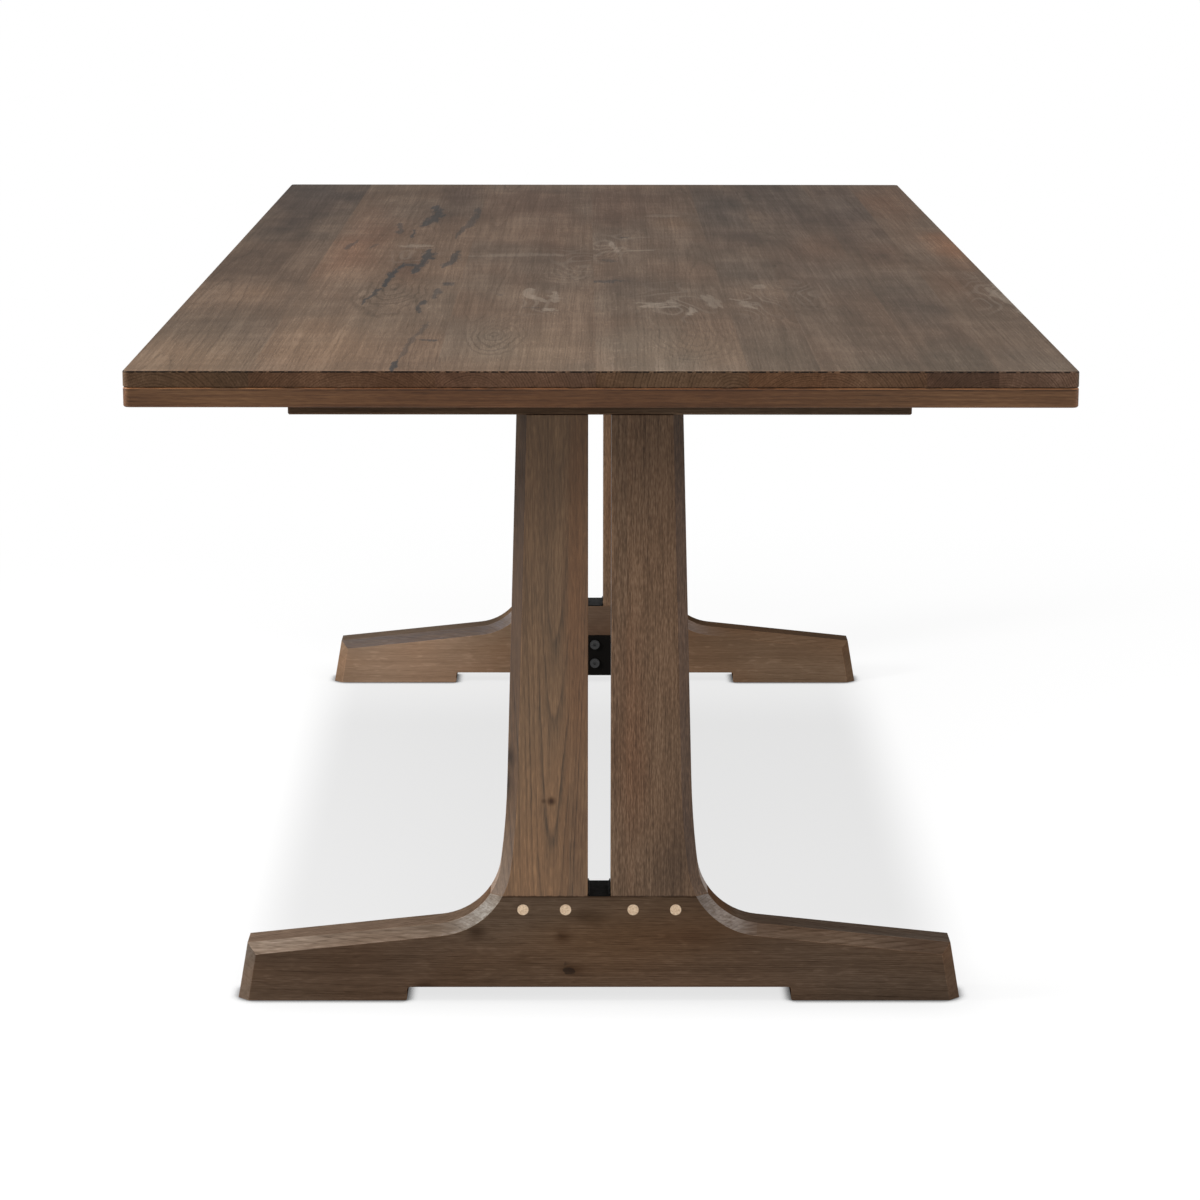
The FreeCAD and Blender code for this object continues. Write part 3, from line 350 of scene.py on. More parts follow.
def marked_colour(tree, colour, point, normal, seen, marks):
    """The wood's colour with its patches, bands, flares, pale strokes and cracks; some patches and bands
    are painted light and shade.
    """
    place = add(tree, "SeparateXYZ", {0: point}).outputs

    # Tints with a way are mostly painted sheen, highlights and shade on chamfers, curves and upper faces.
    def tinted(share, tint, way=None):
        if way:
            toward = vector(tree, "DOT_PRODUCT", normal, Vector(way).normalized())
            share = calc(tree, "MULTIPLY", share, ramp(tree, toward, *FACES_WAY))
            share = calc(tree, "MULTIPLY", share, ramp(tree, seen["Fibres"], -0.12, 0.10, 0.78, 1.0))
        return blend(tree, share, colour, (*tint, 1), "MULTIPLY")

    for centre, reach, *tint in marks.get("patches", ()):
        colour = tinted(spot(tree, point, centre, reach, (seen["Clouds"], FRAY["patches"])), *tint)
    for axis, start, stop, soft, *tint in marks.get("bands", ()):
        share = calc(tree, "MULTIPLY", ramp(tree, place[axis], start - soft, start + soft),
                     ramp(tree, place[axis], stop + soft, stop - soft))
        share = calc(tree, "MULTIPLY", share, ramp(tree, seen["Edge"], -0.14, 0.02))
        colour = tinted(share, *tint)
    for centre, reach, weight in marks.get("flares", ()):
        share = spot(tree, point, centre, reach, (seen["Clouds"], FRAY["flares"]))
        share = calc(tree, "MULTIPLY", seen["Veins"], scaled(tree, share, weight))
        colour = blend(tree, share, colour, PALE)
    for kind, wood in (("pale", PALE), ("cracks", SMOKE)):
        if marks.get(kind):
            bent = add(tree, "CombineXYZ", {0: scaled(tree, seen["Clouds"], WINDING[0]),
                                            1: scaled(tree, seen["Curl"], WINDING[1])}).outputs[0]
            bent = vector(tree, "ADD", point, bent)
            share = 0.0
            for start, stop, width, weight in marks[kind]:
                stroke = use(tree, STROKE, (seen["Edge"], FRAY[kind]), Point=bent, Start=start, End=stop,
                             Width=width)["Share"]
                share = calc(tree, "MAXIMUM", share, scaled(tree, stroke, weight))
            colour = blend(tree, share, colour, wood)
    return colour


def oak(name, along, pith, tones, ring=0.0032, taper=0.0, bend=0.02, figure=BASE_FIGURE, warmth=0.5,
        roughness=0.45, gloss=0.2, flecks=(1, 1, 1), stave=None, marks=None, worn_and_highlit_edges=True):
    """Smoked oak whose fibres run along one axis, with its pith line at a point in the frame.

    tones are the dark, middle and light colours, and figure says how much each pattern counts.
    flecks is how many more flecks of cut cells than usual there are, across, deep and along.
    A stave is (axis, place, pith): past that place the wood is another log's. marks are places
    on this piece, each list by itself: swells push the rings aside, bold places show more of
    them, or less, cracks and pale strokes run from one point to another, eyes are nested arcs,
    patches tint the wood, flares show pale veins and bands tint it between two places on an
    axis. Some patches and bands are painted sheen, highlights and shade. A patch or band may
    end with a direction, and then it tints only the faces that look that way; apart from the
    dark joint lines, these facing tints are painted sheen, highlights and shade. The end tint
    is for end grain. Unless worn_and_highlit_edges is off, edges are lighter, partly as wear and partly as
    a painted highlight.
    """
    marks = marks or {}
    material, tree, point = new_material(name)
    board, whole = log_points(tree, point, along, pith, stave)
    swell = 0.0
    for centre, reach, height in marks.get("swells", ()):
        swell = total(tree, swell, scaled(tree, spot(tree, point, centre, reach), height))
    seen = use(tree, GRAIN, Point=board, Place=whole, Ring=ring, Taper=taper, Bend=bend, Swell=swell,
               Flecks=flecks)
    normal = add(tree, "NewGeometry").outputs["Normal"]
    end = calc(tree, "ABSOLUTE", vector(tree, "DOT_PRODUCT", normal, AXES[along]))
    end = ramp(tree, end, 0.5, 0.9)
    shade = wood_shade(tree, point, seen, end, figure, marks)
    colour = wood_colour(tree, shade, tones, board, warmth)
    colour = blend(tree, end, colour, marks.get("end tint", END_TINT), "MULTIPLY")
    colour = marked_colour(tree, colour, point, normal, seen, marks)
    height = total(tree, *(scaled(tree, seen[pattern], weight) for pattern, weight in RELIEF.items()))
    relief = {"Strength": 0.35, "Distance": 0.0005, "Height": height}
    # Lighter edges: partly wear, partly a painted highlight along the soft edges.
    if worn_and_highlit_edges:
        soft = add(tree, "Bevel", {"Radius": WEAR_AND_HIGHLIGHT_RADIUS}, samples=4).outputs[0]
        relief["Normal"] = soft
        worn_and_highlit = calc(tree, "MULTIPLY", ramp(tree, vector(tree, "DOT_PRODUCT", soft, normal), 0.998, 0.95),
                    ramp(tree, seen["Clouds"], -0.10, 0.08, 0.15, 0.8))
        colour = blend(tree, worn_and_highlit, colour, WORN_AND_HIGHLIT, "MULTIPLY")
    bump = add(tree, "Bump", relief)
    finish_material(tree, {
        "Base Color": colour, "Specular IOR Level": gloss, "Normal": bump.outputs[0],
        "Roughness": ramp(tree, shade, 0.2, 0.9, roughness + 0.05, roughness - 0.05)})
    return material


def cover(node, material):
    """Gives a CAD node its material."""
    nodes[node].data.materials.clear()
    nodes[node].data.materials.append(material)


def lit(tones, factor):
    """The same tones, lighter or darker."""
    return [[part * factor for part in tone] for tone in tones]


TOP_TONES = [(0.026, 0.016, 0.009), (0.066, 0.041, 0.025), (0.140, 0.093, 0.060)]
EDGE_TONES = [(0.036, 0.015, 0.0055), (0.108, 0.050, 0.0225), (0.215, 0.110, 0.050)]
BASE_TONES = [(0.036, 0.019, 0.010), (0.118, 0.070, 0.040), (0.240, 0.152, 0.094)]
POST_TONES = [(0.044, 0.031, 0.022), (0.118, 0.070, 0.040), (0.250, 0.150, 0.080)]

# Marks on the upper faces of the boards, by the board's number. Places are (x, y) in the frame.
CRACKS = {  # from, to, half width, darkness
    2: [((-0.246, 0.40), (-0.239, 0.70), 0.0080, 0.85), ((-0.258, 0.24), (-0.256, 0.36), 0.0040, 0.80),
        ((-0.284, 0.28), (-0.279, 0.45), 0.0050, 0.60), ((-0.196, 0.22), (-0.180, 0.70), 0.0060, 0.60),
        ((-0.335, 0.09), (-0.333, 0.21), 0.0030, 0.60), ((-0.306, 0.11), (-0.304, 0.19), 0.0030, 0.50),
        ((-0.264, -0.33), (-0.260, -0.07), 0.0045, 0.97), ((-0.261, -0.09), (-0.229, -0.10), 0.0110, 0.80),
        ((-0.236, -0.19), (-0.230, 0.09), 0.0075, 0.90), ((-0.196, -0.12), (-0.192, 0.07), 0.0075, 0.75),
        ((-0.282, -0.50), (-0.268, -0.35), 0.0040, 0.80), ((-0.209, -0.61), (-0.206, -0.48), 0.0035, 0.80),
        ((-0.200, -0.46), (-0.194, -0.35), 0.0050, 0.65), ((-0.188, -0.31), (-0.176, -0.305), 0.0090, 0.75),
        ((-0.192, -0.832), (-0.173, -0.830), 0.0060, 0.75),
        ((-0.211, -1.067), (-0.210, -0.985), 0.0030, 0.90),
        ((-0.208, -0.99), (-0.200, -0.68), 0.0045, 0.45)],
    3: [((-0.086, -0.55), (-0.080, -0.545), 0.007, 0.5), ((-0.115, -0.42), (-0.108, -0.415), 0.007, 0.45)],
    4: [((-0.004, -0.279), (0.032, -0.277), 0.0110, 0.70), ((-0.004, -0.04), (0.022, -0.045), 0.0110, 0.50),
        ((0.034, 0.235), (0.040, 0.25), 0.0080, 0.80)],
}
PALE_STROKES = {  # from, to, half width, share of the pale colour
    2: [((-0.265, 0.147), (-0.232, 0.135), 0.018, 0.19)],
    3: [((-0.084, -0.35), (-0.068, -0.48), 0.006, 0.21), ((-0.050, -0.39), (-0.055, -0.48), 0.007, 0.19),
        ((-0.068, -0.575), (-0.056, -0.56), 0.015, 0.23), ((-0.19, 0.01), (-0.06, 0.03), 0.018, 0.10)],
    4: [((0.020, 0.19), (0.034, 0.05), 0.006, 0.21), ((0.030, 0.045), (0.075, 0.10), 0.009, 0.19),
        ((0.040, 0.23), (0.075, 0.26), 0.012, 0.11), ((0.052, -0.50), (0.080, -0.53), 0.012, 0.21),
        ((0.080, -0.53), (0.090, -0.47), 0.006, 0.17), ((0.101, -0.53), (0.106, -0.60), 0.006, 0.23),
        ((0.080, 0.55), (0.125, 0.55), 0.018, 0.11), ((0.130, -0.42), (0.137, -0.55), 0.006, 0.17),
        ((0.137, -0.41), (0.147, -0.55), 0.005, 0.15)],
    5: [((0.160, -0.44), (0.190, -0.56), 0.006, 0.17), ((0.207, -0.36), (0.212, -0.30), 0.009, 0.16)],
    8: [((0.488, -0.30), (0.492, -0.62), 0.007, 0.20), ((0.478, -0.33), (0.483, -0.50), 0.005, 0.17)],
}
EYES = {  # centre, half width, half length, number of arcs, weight
    2: [(-0.253, -0.33, 0.050, 0.33, 5, -0.20)],
    3: [(-0.118, -0.78, 0.040, 0.20, 5, -0.18), (-0.040, -0.16, 0.040, 0.17, 5, 0.12)],
    4: [(0.010, 0.15, 0.040, 0.20, 6, 0.12), (0.105, -0.75, 0.055, 0.30, 7, -0.10)],
    5: [(0.225, -0.30, 0.020, 0.12, 3, 0.12)],
    6: [(0.250, -0.45, 0.028, 0.14, 4, -0.08)],
}
FLARES = {  # centre, half width, half length, weight
    2: [(-0.25, 0.02, 0.05, 0.20, 0.10)],
    3: [(-0.07, -0.48, 0.05, 0.20, 0.13), (-0.03, -0.10, 0.05, 0.30, 0.10)],
    4: [(0.02, 0.12, 0.06, 0.30, 0.14), (0.09, -0.50, 0.07, 0.28, 0.14)],
    5: [(0.19, -0.48, 0.05, 0.30, 0.13)],
    6: [(0.25, -0.40, 0.03, 0.25, 0.10)],
    8: [(0.475, -0.42, 0.04, 0.30, 0.13)],
}
# Board tints. The pale, mostly cool patches at the near ends and at the far rims are painted sheen; the
# others are the boards' own tone.
TONE_AND_SHEEN_PATCHES = {  # centre, half width, half length, tint
    1: [(-0.43, 0.95, 0.16, 0.95, (0.46, 0.43, 0.43)), (-0.43, -0.02, 0.13, 0.55, (0.60, 0.56, 0.50)),
        (-0.42, -0.40, 0.07, 0.16, (1.20, 1.16, 1.10)), (-0.43, -0.70, 0.10, 0.30, (0.88, 0.89, 0.88)),
        (-0.44, -0.99, 0.16, 0.32, (1.66, 1.66, 1.62))],
    2: [(-0.330, 0.10, 0.07, 0.75, (1.16, 1.00, 0.93)), (-0.205, 0.95, 0.06, 0.60, (0.62, 0.58, 0.56)),
        (-0.245, -0.15, 0.03, 0.18, (0.75, 0.66, 0.60)), (-0.30, -0.90, 0.13, 0.38, (1.36, 1.38, 1.38)),
        (-0.27, 0.55, 0.12, 0.45, (0.90, 0.86, 0.84)), (-0.27, 1.06, 0.12, 0.14, (1.30, 1.36, 1.42))],
    3: [(-0.09, 0.80, 0.14, 0.70, (0.88, 0.80, 0.76)), (-0.08, -0.94, 0.14, 0.36, (1.40, 1.54, 1.65)),
        (-0.03, -0.33, 0.06, 0.20, (0.85, 0.84, 0.83)), (-0.09, -0.02, 0.14, 0.60, (0.80, 0.76, 0.73)),
        (-0.05, 0.30, 0.10, 0.35, (1.05, 0.97, 0.90)), (-0.09, 1.06, 0.12, 0.14, (1.30, 1.36, 1.42))],
    4: [(0.04, 0.75, 0.14, 0.60, (0.92, 0.82, 0.76)), (0.11, 0.45, 0.06, 0.25, (1.25, 1.12, 0.98)),
        (0.07, -0.98, 0.16, 0.42, (1.70, 1.90, 2.08)), (0.03, -0.33, 0.07, 0.20, (0.80, 0.78, 0.77)),
        (0.07, 1.06, 0.12, 0.16, (1.40, 1.46, 1.52))],
    5: [(0.19, 0.58, 0.10, 0.75, (0.62, 0.62, 0.64)), (0.19, -0.20, 0.08, 0.32, (0.76, 0.78, 0.80)),
        (0.19, -0.98, 0.08, 0.30, (1.15, 1.22, 1.26)), (0.19, 1.06, 0.09, 0.14, (1.30, 1.36, 1.42))],
    6: [(0.285, 0.70, 0.10, 0.80, (0.68, 0.67, 0.69)), (0.30, 0.10, 0.07, 0.30, (1.12, 1.02, 0.94)),
        (0.28, -0.15, 0.10, 0.50, (0.84, 0.86, 0.90)), (0.28, -1.05, 0.09, 0.14, (1.15, 1.25, 1.32))],
    7: [(0.376, 0.60, 0.08, 0.75, (0.64, 0.60, 0.60)), (0.38, 0.00, 0.06, 0.30, (1.05, 0.96, 0.90)),
        (0.375, -0.55, 0.08, 0.50, (0.66, 0.68, 0.70)), (0.38, -1.02, 0.08, 0.28, (0.98, 1.06, 1.10))],
    8: [(0.480, 0.10, 0.045, 0.32, (1.65, 1.32, 1.10)), (0.45, 0.80, 0.08, 0.50, (1.28, 1.10, 0.98)),
        (0.45, -0.30, 0.05, 0.30, (0.95, 0.84, 0.76)), (0.44, 0.25, 0.08, 0.35, (1.25, 1.20, 1.18)),
        (0.45, -1.03, 0.08, 0.20, (1.12, 1.26, 1.40))],
}


THROUGH, SKIN = 0.3, 0.02  # how deep a mark reaches into a board: all through, or near its face only
SWELL_DEPTH, EYE_SWELL = 0.05, 0.012  # how deep an eye pushes the rings aside, and how far
TOP_EDGE_SHADE_LINE = (0.0018, 0.0001)  # a painted shade line round the upper edge, from and to below the top
SEAM_SHADE = 0.0012  # height of the shaded strip at the seam
NEAR_END_HIGHLIGHT = (0.0012, 0.0090)  # a painted highlight strip across the near ends of the boards, on their upper faces


def strokes(rows, top):
    """Strokes on a board, as places in the frame."""
    return [((*start, top), (*stop, top), width, weight) for start, stop, width, weight in rows]


def blobs(rows, top, depth):
    """Rows of (x, y, half width, half length, ...) as (centre, reach, ...) in the frame."""
    return [((x, y, top), (wide, long, depth), *rest) for x, y, wide, long, *rest in rows]


def board_marks(index, low, high):
    """The marks of one board, as places in the frame."""
    top, end, seam = high.z, low.y, low.z
    eyes = EYES.get(index, ())
    return {
        "cracks": strokes(CRACKS.get(index, ()), top),
        "pale": strokes(PALE_STROKES.get(index, ()), top),
        "eyes": blobs(eyes, top, THROUGH),
        "swells": [(centre, reach, EYE_SWELL) for centre, reach, *_ in blobs(eyes, top, SWELL_DEPTH)],
        "flares": blobs(FLARES.get(index, ()), top, SKIN),
        "patches": blobs(TONE_AND_SHEEN_PATCHES.get(index, ()), top, THROUGH),
        # A painted shade line under the top edge, a shaded strip at the seam, and a painted highlight strip
        # along the near end.
        "bands": [("Z", top - TOP_EDGE_SHADE_LINE[0], top - TOP_EDGE_SHADE_LINE[1], 0.0001, (0.13, 0.12, 0.12)),
                  ("Z", seam, seam + SEAM_SHADE, 0.0005, (0.45, 0.42, 0.40)),
                  ("Y", end + NEAR_END_HIGHLIGHT[0], end + NEAR_END_HIGHLIGHT[1], 0.0003, (1.42, 1.40, 1.38), AXES["z"])],
    }


def board_oak():
    """The eight boards of the top. Their pith lines lie under them, so the ends show arcs."""
    looks = [
        # pith aside, pith below, ring, taper, tone, warmth, end tint
        (-0.030, 0.060, 0.0030, 0.012, 0.92, 0.4, (0.95, 0.84, 0.76)),
        (0.020, 0.085, 0.0026, 0.010, 1.08, 0.6, (1.13, 0.92, 0.83)),
        (-0.050, 0.045, 0.0028, -0.014, 1.02, 0.6, (1.25, 1.03, 1.00)),
        (0.065, 0.030, 0.0034, 0.016, 0.92, 0.6, (1.16, 0.95, 0.80)),
        (0.030, 0.070, 0.0024, 0.010, 0.90, 0.4, (1.70, 1.25, 1.00)),
        (-0.045, 0.055, 0.0028, 0.020, 0.89, 0.4, (1.72, 1.36, 1.18)),
        (0.040, 0.060, 0.0022, -0.008, 0.91, 0.4, (1.38, 1.12, 1.12)),
        (-0.035, 0.050, 0.0026, 0.014, 0.97, 0.5, (1.62, 1.35, 1.32)),
    ]
    step = 0.37  # boards come from different lengths of their logs, this many metres apart
    for index, (aside, below, ring, taper, tone, warmth, end) in enumerate(looks, start=1):
        node = "top_board_%d" % index
        low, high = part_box(node)
        pith = ((low.x + high.x) / 2 + aside, step * index, high.z - below)
        marks = board_marks(index, low, high)
        marks["end tint"] = (*end, 1)
        cover(node, oak("oak board %d" % index, "y", pith, lit(TOP_TONES, tone), ring, taper,
                        figure=BOARD_FIGURE, warmth=warmth, roughness=0.66, gloss=0.08, marks=marks,
                        worn_and_highlit_edges=False))


RAIL_PITH = {"x": (0.0, 0.05, -0.09), "y": (0.05, 0.0, -0.09)}  # from the rail's middle, by its axis
RAIL_PATCHES = {  # x of the centre, half length, tint
    "dark middle": (0.0, 0.45, (0.80, 0.75, 0.70)),
    "pale right end": (0.45, 0.35, (1.20, 1.20, 1.18)),
    "dark left end": (-0.48, 0.35, (0.85, 0.82, 0.80)),
}


def rail_oak():
    """The four rails under the rim: a pale seam line, part wear and part painted highlight, darker just
    below.
    """
    for node, along in (("rail_near", "x"), ("rail_far", "x"), ("rail_left", "y"), ("rail_right", "y")):
        low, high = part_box(node)
        pith = (low + high) / 2 + Vector(RAIL_PITH[along])
        # The pale line at the top is partly wear and partly a painted highlight; the strip below it is
        # darker.
        marks = {"bands": [("Z", high.z - 0.0012, high.z, 0.0003, (2.6, 2.4, 2.2)),
                           ("Z", high.z - 0.0030, high.z - 0.0014, 0.0003, (0.55, 0.53, 0.50))],
                 "patches": [((x, low.y, high.z), (half, THROUGH, THROUGH), tint)
                             for x, half, tint in RAIL_PATCHES.values()]}
        cover(node, oak("oak " + node, along, pith, lit(EDGE_TONES, 0.95), ring=0.0026, taper=0.006,
                        figure=EDGE_FIGURE, warmth=0.6, marks=marks))


# Marks on the feet and posts: (x, z) of the centre, reach, tint and, where only the faces that
# look one way are tinted, that way. The facing tints on chamfers, curves, ends and upper faces
# are painted sheen, highlights and shade; other painted light is marked where it stands.
NEAR_FOOT = {
    "knot below the painted sheen on the left curve": ((-0.14, 0.081), (0.022, 0.05, 0.016), (0.45, 0.42, 0.40)),
    "stain round the middle knot": ((-0.03, 0.037), (0.030, 0.03, 0.012), (0.62, 0.56, 0.52)),
    "stain round the upper knot": ((-0.042, 0.076), (0.016, 0.03, 0.014), (0.60, 0.54, 0.50)),
    # The left nose tint is a painted sheen.
    "painted sheen on the left nose": ((-0.45, 0.05), (0.12, 0.2, 0.2), (1.20, 1.62, 2.05), (-0.7, -0.7, 0)),
    "warm middle": ((0.0, 0.07), (0.24, 0.1, 0.08), (1.18, 1.13, 1.02)),
    "dark cloud under the slot": ((-0.013, 0.101), (0.036, 0.05, 0.017), (0.66, 0.64, 0.62)),
    "dark cloud on the left": ((-0.085, 0.050), (0.030, 0.05, 0.020), (0.84, 0.82, 0.80)),
    "dark cloud on the right": ((0.100, 0.075), (0.050, 0.05, 0.012), (0.84, 0.80, 0.78)),
    "dark end of the left pad": ((-0.20, 0.018), (0.020, 0.05, 0.008), (0.55, 0.52, 0.50)),
    "pale right": ((0.30, 0.05), (0.20, 0.1, 0.10), (1.08, 1.08, 1.08)),
    "whole foot": ((0.0, 0.06), (3.0, 3.0, 3.0), (1.08, 1.15, 1.32)),
    # The tints from here on are painted: sheen on the chamfers, curves and right upper face, highlights at
    # the left chamfer's end and on the left upper face, and shade at the right chamfer's end.
    "painted lighting on the left chamfer": ((-0.32, 0.09), (0.44, 0.3, 0.3), (2.15, 2.45, 2.75), (-0.07, -0.7, 0.7)),
    "painted highlight at the chamfer's left end": ((-0.37, 0.085), (0.07, 0.2, 0.2), (1.4, 1.42, 1.44), (-0.07, -0.7, 0.7)),
    "painted sheen on the right chamfer": ((0.27, 0.09), (0.35, 0.3, 0.3), (1.42, 1.50, 1.58), (0.07, -0.7, 0.7)),
    "painted shade at the chamfer's right end": ((0.38, 0.085), (0.11, 0.2, 0.2), (0.66, 0.65, 0.67), (0.07, -0.7, 0.7)),
    "painted sheen on the left curve": ((-0.13, 0.13), (0.12, 0.2, 0.12), (2.25, 2.90, 3.60), (-0.55, -0.75, 0.4)),
    "painted sheen on the right curve": ((0.13, 0.13), (0.12, 0.2, 0.12), (1.98, 2.70, 3.80), (0.55, -0.75, 0.4)),
    "painted light on the left upper face": ((-0.32, 0.09), (0.44, 0.3, 0.3), (1.76, 1.84, 1.96), AXES["z"]),
    "painted sheen on the right upper face": ((0.35, 0.09), (0.5, 0.3, 0.3), (1.12, 1.40, 1.75), AXES["z"]),
}
NEAR_FOOT_KNOTS = {  # from, to, half width, darkness
    "middle": ((-0.037, 0.0375), (-0.022, 0.0350), 0.0065, 0.62),
    "upper": ((-0.045, 0.0760), (-0.040, 0.0775), 0.0050, 0.35),
}
FAR_FOOT = {
    # Painted light on the left; painted shade in the middle, on the upper face and on the left chamfer;
    # painted sheen on the curves. The whole-foot tint is the wood's own tone.
    "painted light on the left": ((-0.30, 0.06), (0.24, 0.2, 0.2), (1.8, 1.95, 2.15)),
    "dark middle": ((0.0, 0.08), (0.16, 0.2, 0.2), (0.61, 0.62, 0.68)),
    "whole foot": ((0.0, 0.06), (3.0, 3.0, 3.0), (1.0, 1.03, 1.10)),
    "upper face": ((0.0, 0.08), (1.4, 1.4, 1.4), (0.62, 0.66, 0.72), AXES["z"]),
    "painted sheen on the left curve": ((-0.11, 0.13), (0.12, 0.2, 0.12), (1.9, 2.6, 3.8), (-0.50, -0.75, 0.45)),
    "painted sheen on the right curve": ((0.11, 0.13), (0.12, 0.2, 0.12), (1.5, 2.1, 3.2), (0.50, -0.75, 0.45)),
    "painted lighting on the left chamfer": ((-0.30, 0.08), (0.5, 0.5, 0.5), (0.50, 0.60, 0.80), (0, -0.7, 0.7)),
}
POST_LEFT = {
    "beside the knot": ((-0.063, 0.236), (0.004, 0.03, 0.004), (0.55, 0.50, 0.46)),
    "knot": ((-0.0545, 0.236), (0.007, 0.03, 0.007), (0.22, 0.17, 0.14)),
    "upper knot at the edge": ((-0.102, 0.286), (0.010, 0.08, 0.024), (0.08, 0.07, 0.06)),
    "lower knot at the edge": ((-0.104, 0.256), (0.009, 0.08, 0.034), (0.10, 0.09, 0.08)),
    # Painted light: the post is paler low down, out of the top's shade.
    "painted light on the lower half": ((-0.070, 0.20), (0.075, 0.08, 0.32), (1.48, 1.46, 1.40)),
    "warm strip at the slot": ((-0.025, 0.45), (0.022, 0.2, 0.32), (1.12, 0.98, 0.90)),
    "dark strip at the slot": ((-0.025, 0.19), (0.025, 0.2, 0.10), (0.80, 0.77, 0.78)),
    # Painted shade on the chamfer, and a painted sheen on the curve below it.
    "chamfer": ((-0.10, 0.40), (1.2, 1.2, 1.2), (0.38, 0.36, 0.37), (-0.7, -0.7, 0)),
    "painted sheen on the curve": ((-0.110, 0.14), (0.06, 0.2, 0.11), (1.42, 1.80, 2.40), (-0.62, -0.72, 0.25)),
}
POST_RIGHT = {
    "warm strip at the slot": ((0.035, 0.30), (0.035, 0.2, 0.25), (1.12, 0.97, 0.90)),
    # Painted shade on the chamfer.
    "chamfer": ((0.10, 0.40), (1.2, 1.2, 1.2), (0.55, 0.53, 0.56), (0.7, -0.7, 0)),
    "dark outer corner": ((0.088, 0.16), (0.040, 0.2, 0.10), (0.62, 0.62, 0.63)),
}
JOINT_LINE = {"foot": (-0.0014, 0.0002), "post": (-0.0002, 0.0010)}  # from and to above the joint
JOINT_TINT = (0.50, 0.46, 0.43)
TO_CAMERA = (0, -1, 0)
STAVE_LEFT, STAVE_RIGHT = -0.0345, 0.030  # where each post's second stave starts, in x


def on_face(marks, y):
    """Named patches as places in the frame, on the face at y."""
    return [((x, y, z), *rest) for (x, z), *rest in marks.values()]


def joint_band(piece, joint):
    """The dark line on a foot or a post where they meet, at the height of the joint."""
    below, above = JOINT_LINE[piece]
    return ("Z", joint + below, joint + above, 0.0003, JOINT_TINT, TO_CAMERA)


def foot_oak(side):
    """A foot. The near one has painted sheen on its chamfers and curves and a dark joint line."""
    low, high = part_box(side + "_foot")
    # The far foot's tones are lighter than the near one's: painted lit and shaded copies of the same wood.
    if side == "near":
        tone, figure, end = 0.73, BASE_FIGURE, (1.12, 1.00, 0.93, 1)
        marks = {"patches": on_face(NEAR_FOOT, low.y),
                 "cracks": [((x, low.y, z), (past, low.y, up), width, weight)
                            for (x, z), (past, up), width, weight in NEAR_FOOT_KNOTS.values()],
                 "bands": [joint_band("foot", high.z)]}
    else:
        tone, figure, end = 1.22, FAR_FIGURE, (1.00, 0.92, 0.86, 1)
        marks = {"patches": on_face(FAR_FOOT, low.y)}
    marks["end tint"] = end
    pith = (low + high) / 2 + Vector((0, 0.06, -0.16))
    cover(side + "_foot", oak("oak %s foot" % side, "x", pith, lit(BASE_TONES, tone), ring=0.0022,
                              taper=0.012, figure=figure, warmth=0.9, gloss=0.0, marks=marks))


def post_oak(side):
    """The two posts of a trestle, each of two staves. Their outer faces carry the marks."""
    low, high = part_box(side + "_foot")
    face = low.y if side == "near" else high.y
    inward = 0.03 if side == "near" else -0.03
    cover(side + "_post_left", oak(
        "oak %s post left" % side, "z", Vector((-0.050, face + inward, 0.2)), lit(POST_TONES, 1.17),
        ring=0.0037, taper=-0.03, bend=0.034, figure=SMOOTH_FIGURE,
        stave=("X", STAVE_LEFT, Vector((-0.16, face + inward, 0.9))),
        marks={"patches": on_face(POST_LEFT, face), "bands": [joint_band("post", high.z)],
               "bold": [((-0.060, face, 0.25), (0.075, 0.2, 0.27), -0.52)]}))
    cover(side + "_post_right", oak(
        "oak %s post right" % side, "z", Vector((0.22, face + 2 * inward, 0.2)), lit(BASE_TONES, 1.10),
        ring=0.0021, taper=0.012, figure=OPEN_FIGURE, flecks=(0.80, 0.80, 1.5),
        stave=("X", STAVE_RIGHT, Vector((-0.10, face + 3 * inward, 0.4))),
        marks={"patches": on_face(POST_RIGHT, face), "bands": [joint_band("post", high.z)]}))


def bar_oak(side):
    """The crossbar under the top, which lies in its shade; its darkened tones are painted shade."""
    low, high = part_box(side + "_foot")
    pith = (low + high) / 2 + Vector((0, 0.05, 0.6))
    cover(side + "_crossbar", oak("oak %s crossbar" % side, "x", pith, lit(BASE_TONES, 0.56),
                                  ring=0.003, taper=0.006, figure=EDGE_FIGURE, gloss=0.08))


def batten_oak():
    """The batten under the middle of the top."""
    centre = sum(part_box("middle_batten"), Vector()) / 2
    cover("middle_batten", oak("oak batten", "x", centre + Vector((0, 0.04, -0.07)), BASE_TONES))


# ---------------------------------------------------------------- plywood, pins, metal


def plain_wood(name, dark, light, stretch):
    """Plywood or a turned pin: fine streaks of two colours. stretch is how often they repeat."""
    material, tree, point = new_material(name)
    fibres = noise(tree, point, stretch, 4.0, 0.6)
    colour = blend(tree, ramp(tree, fibres, 0.3, 0.7), (*dark, 1), (*light, 1))
    bump = add(tree, "Bump", {"Strength": 0.2, "Distance": 0.0003, "Height": fibres})
    finish_material(tree, {"Base Color": colour, "Roughness": 0.6, "Specular IOR Level": 0.3,
                           "Normal": bump.outputs[0]})
    return material


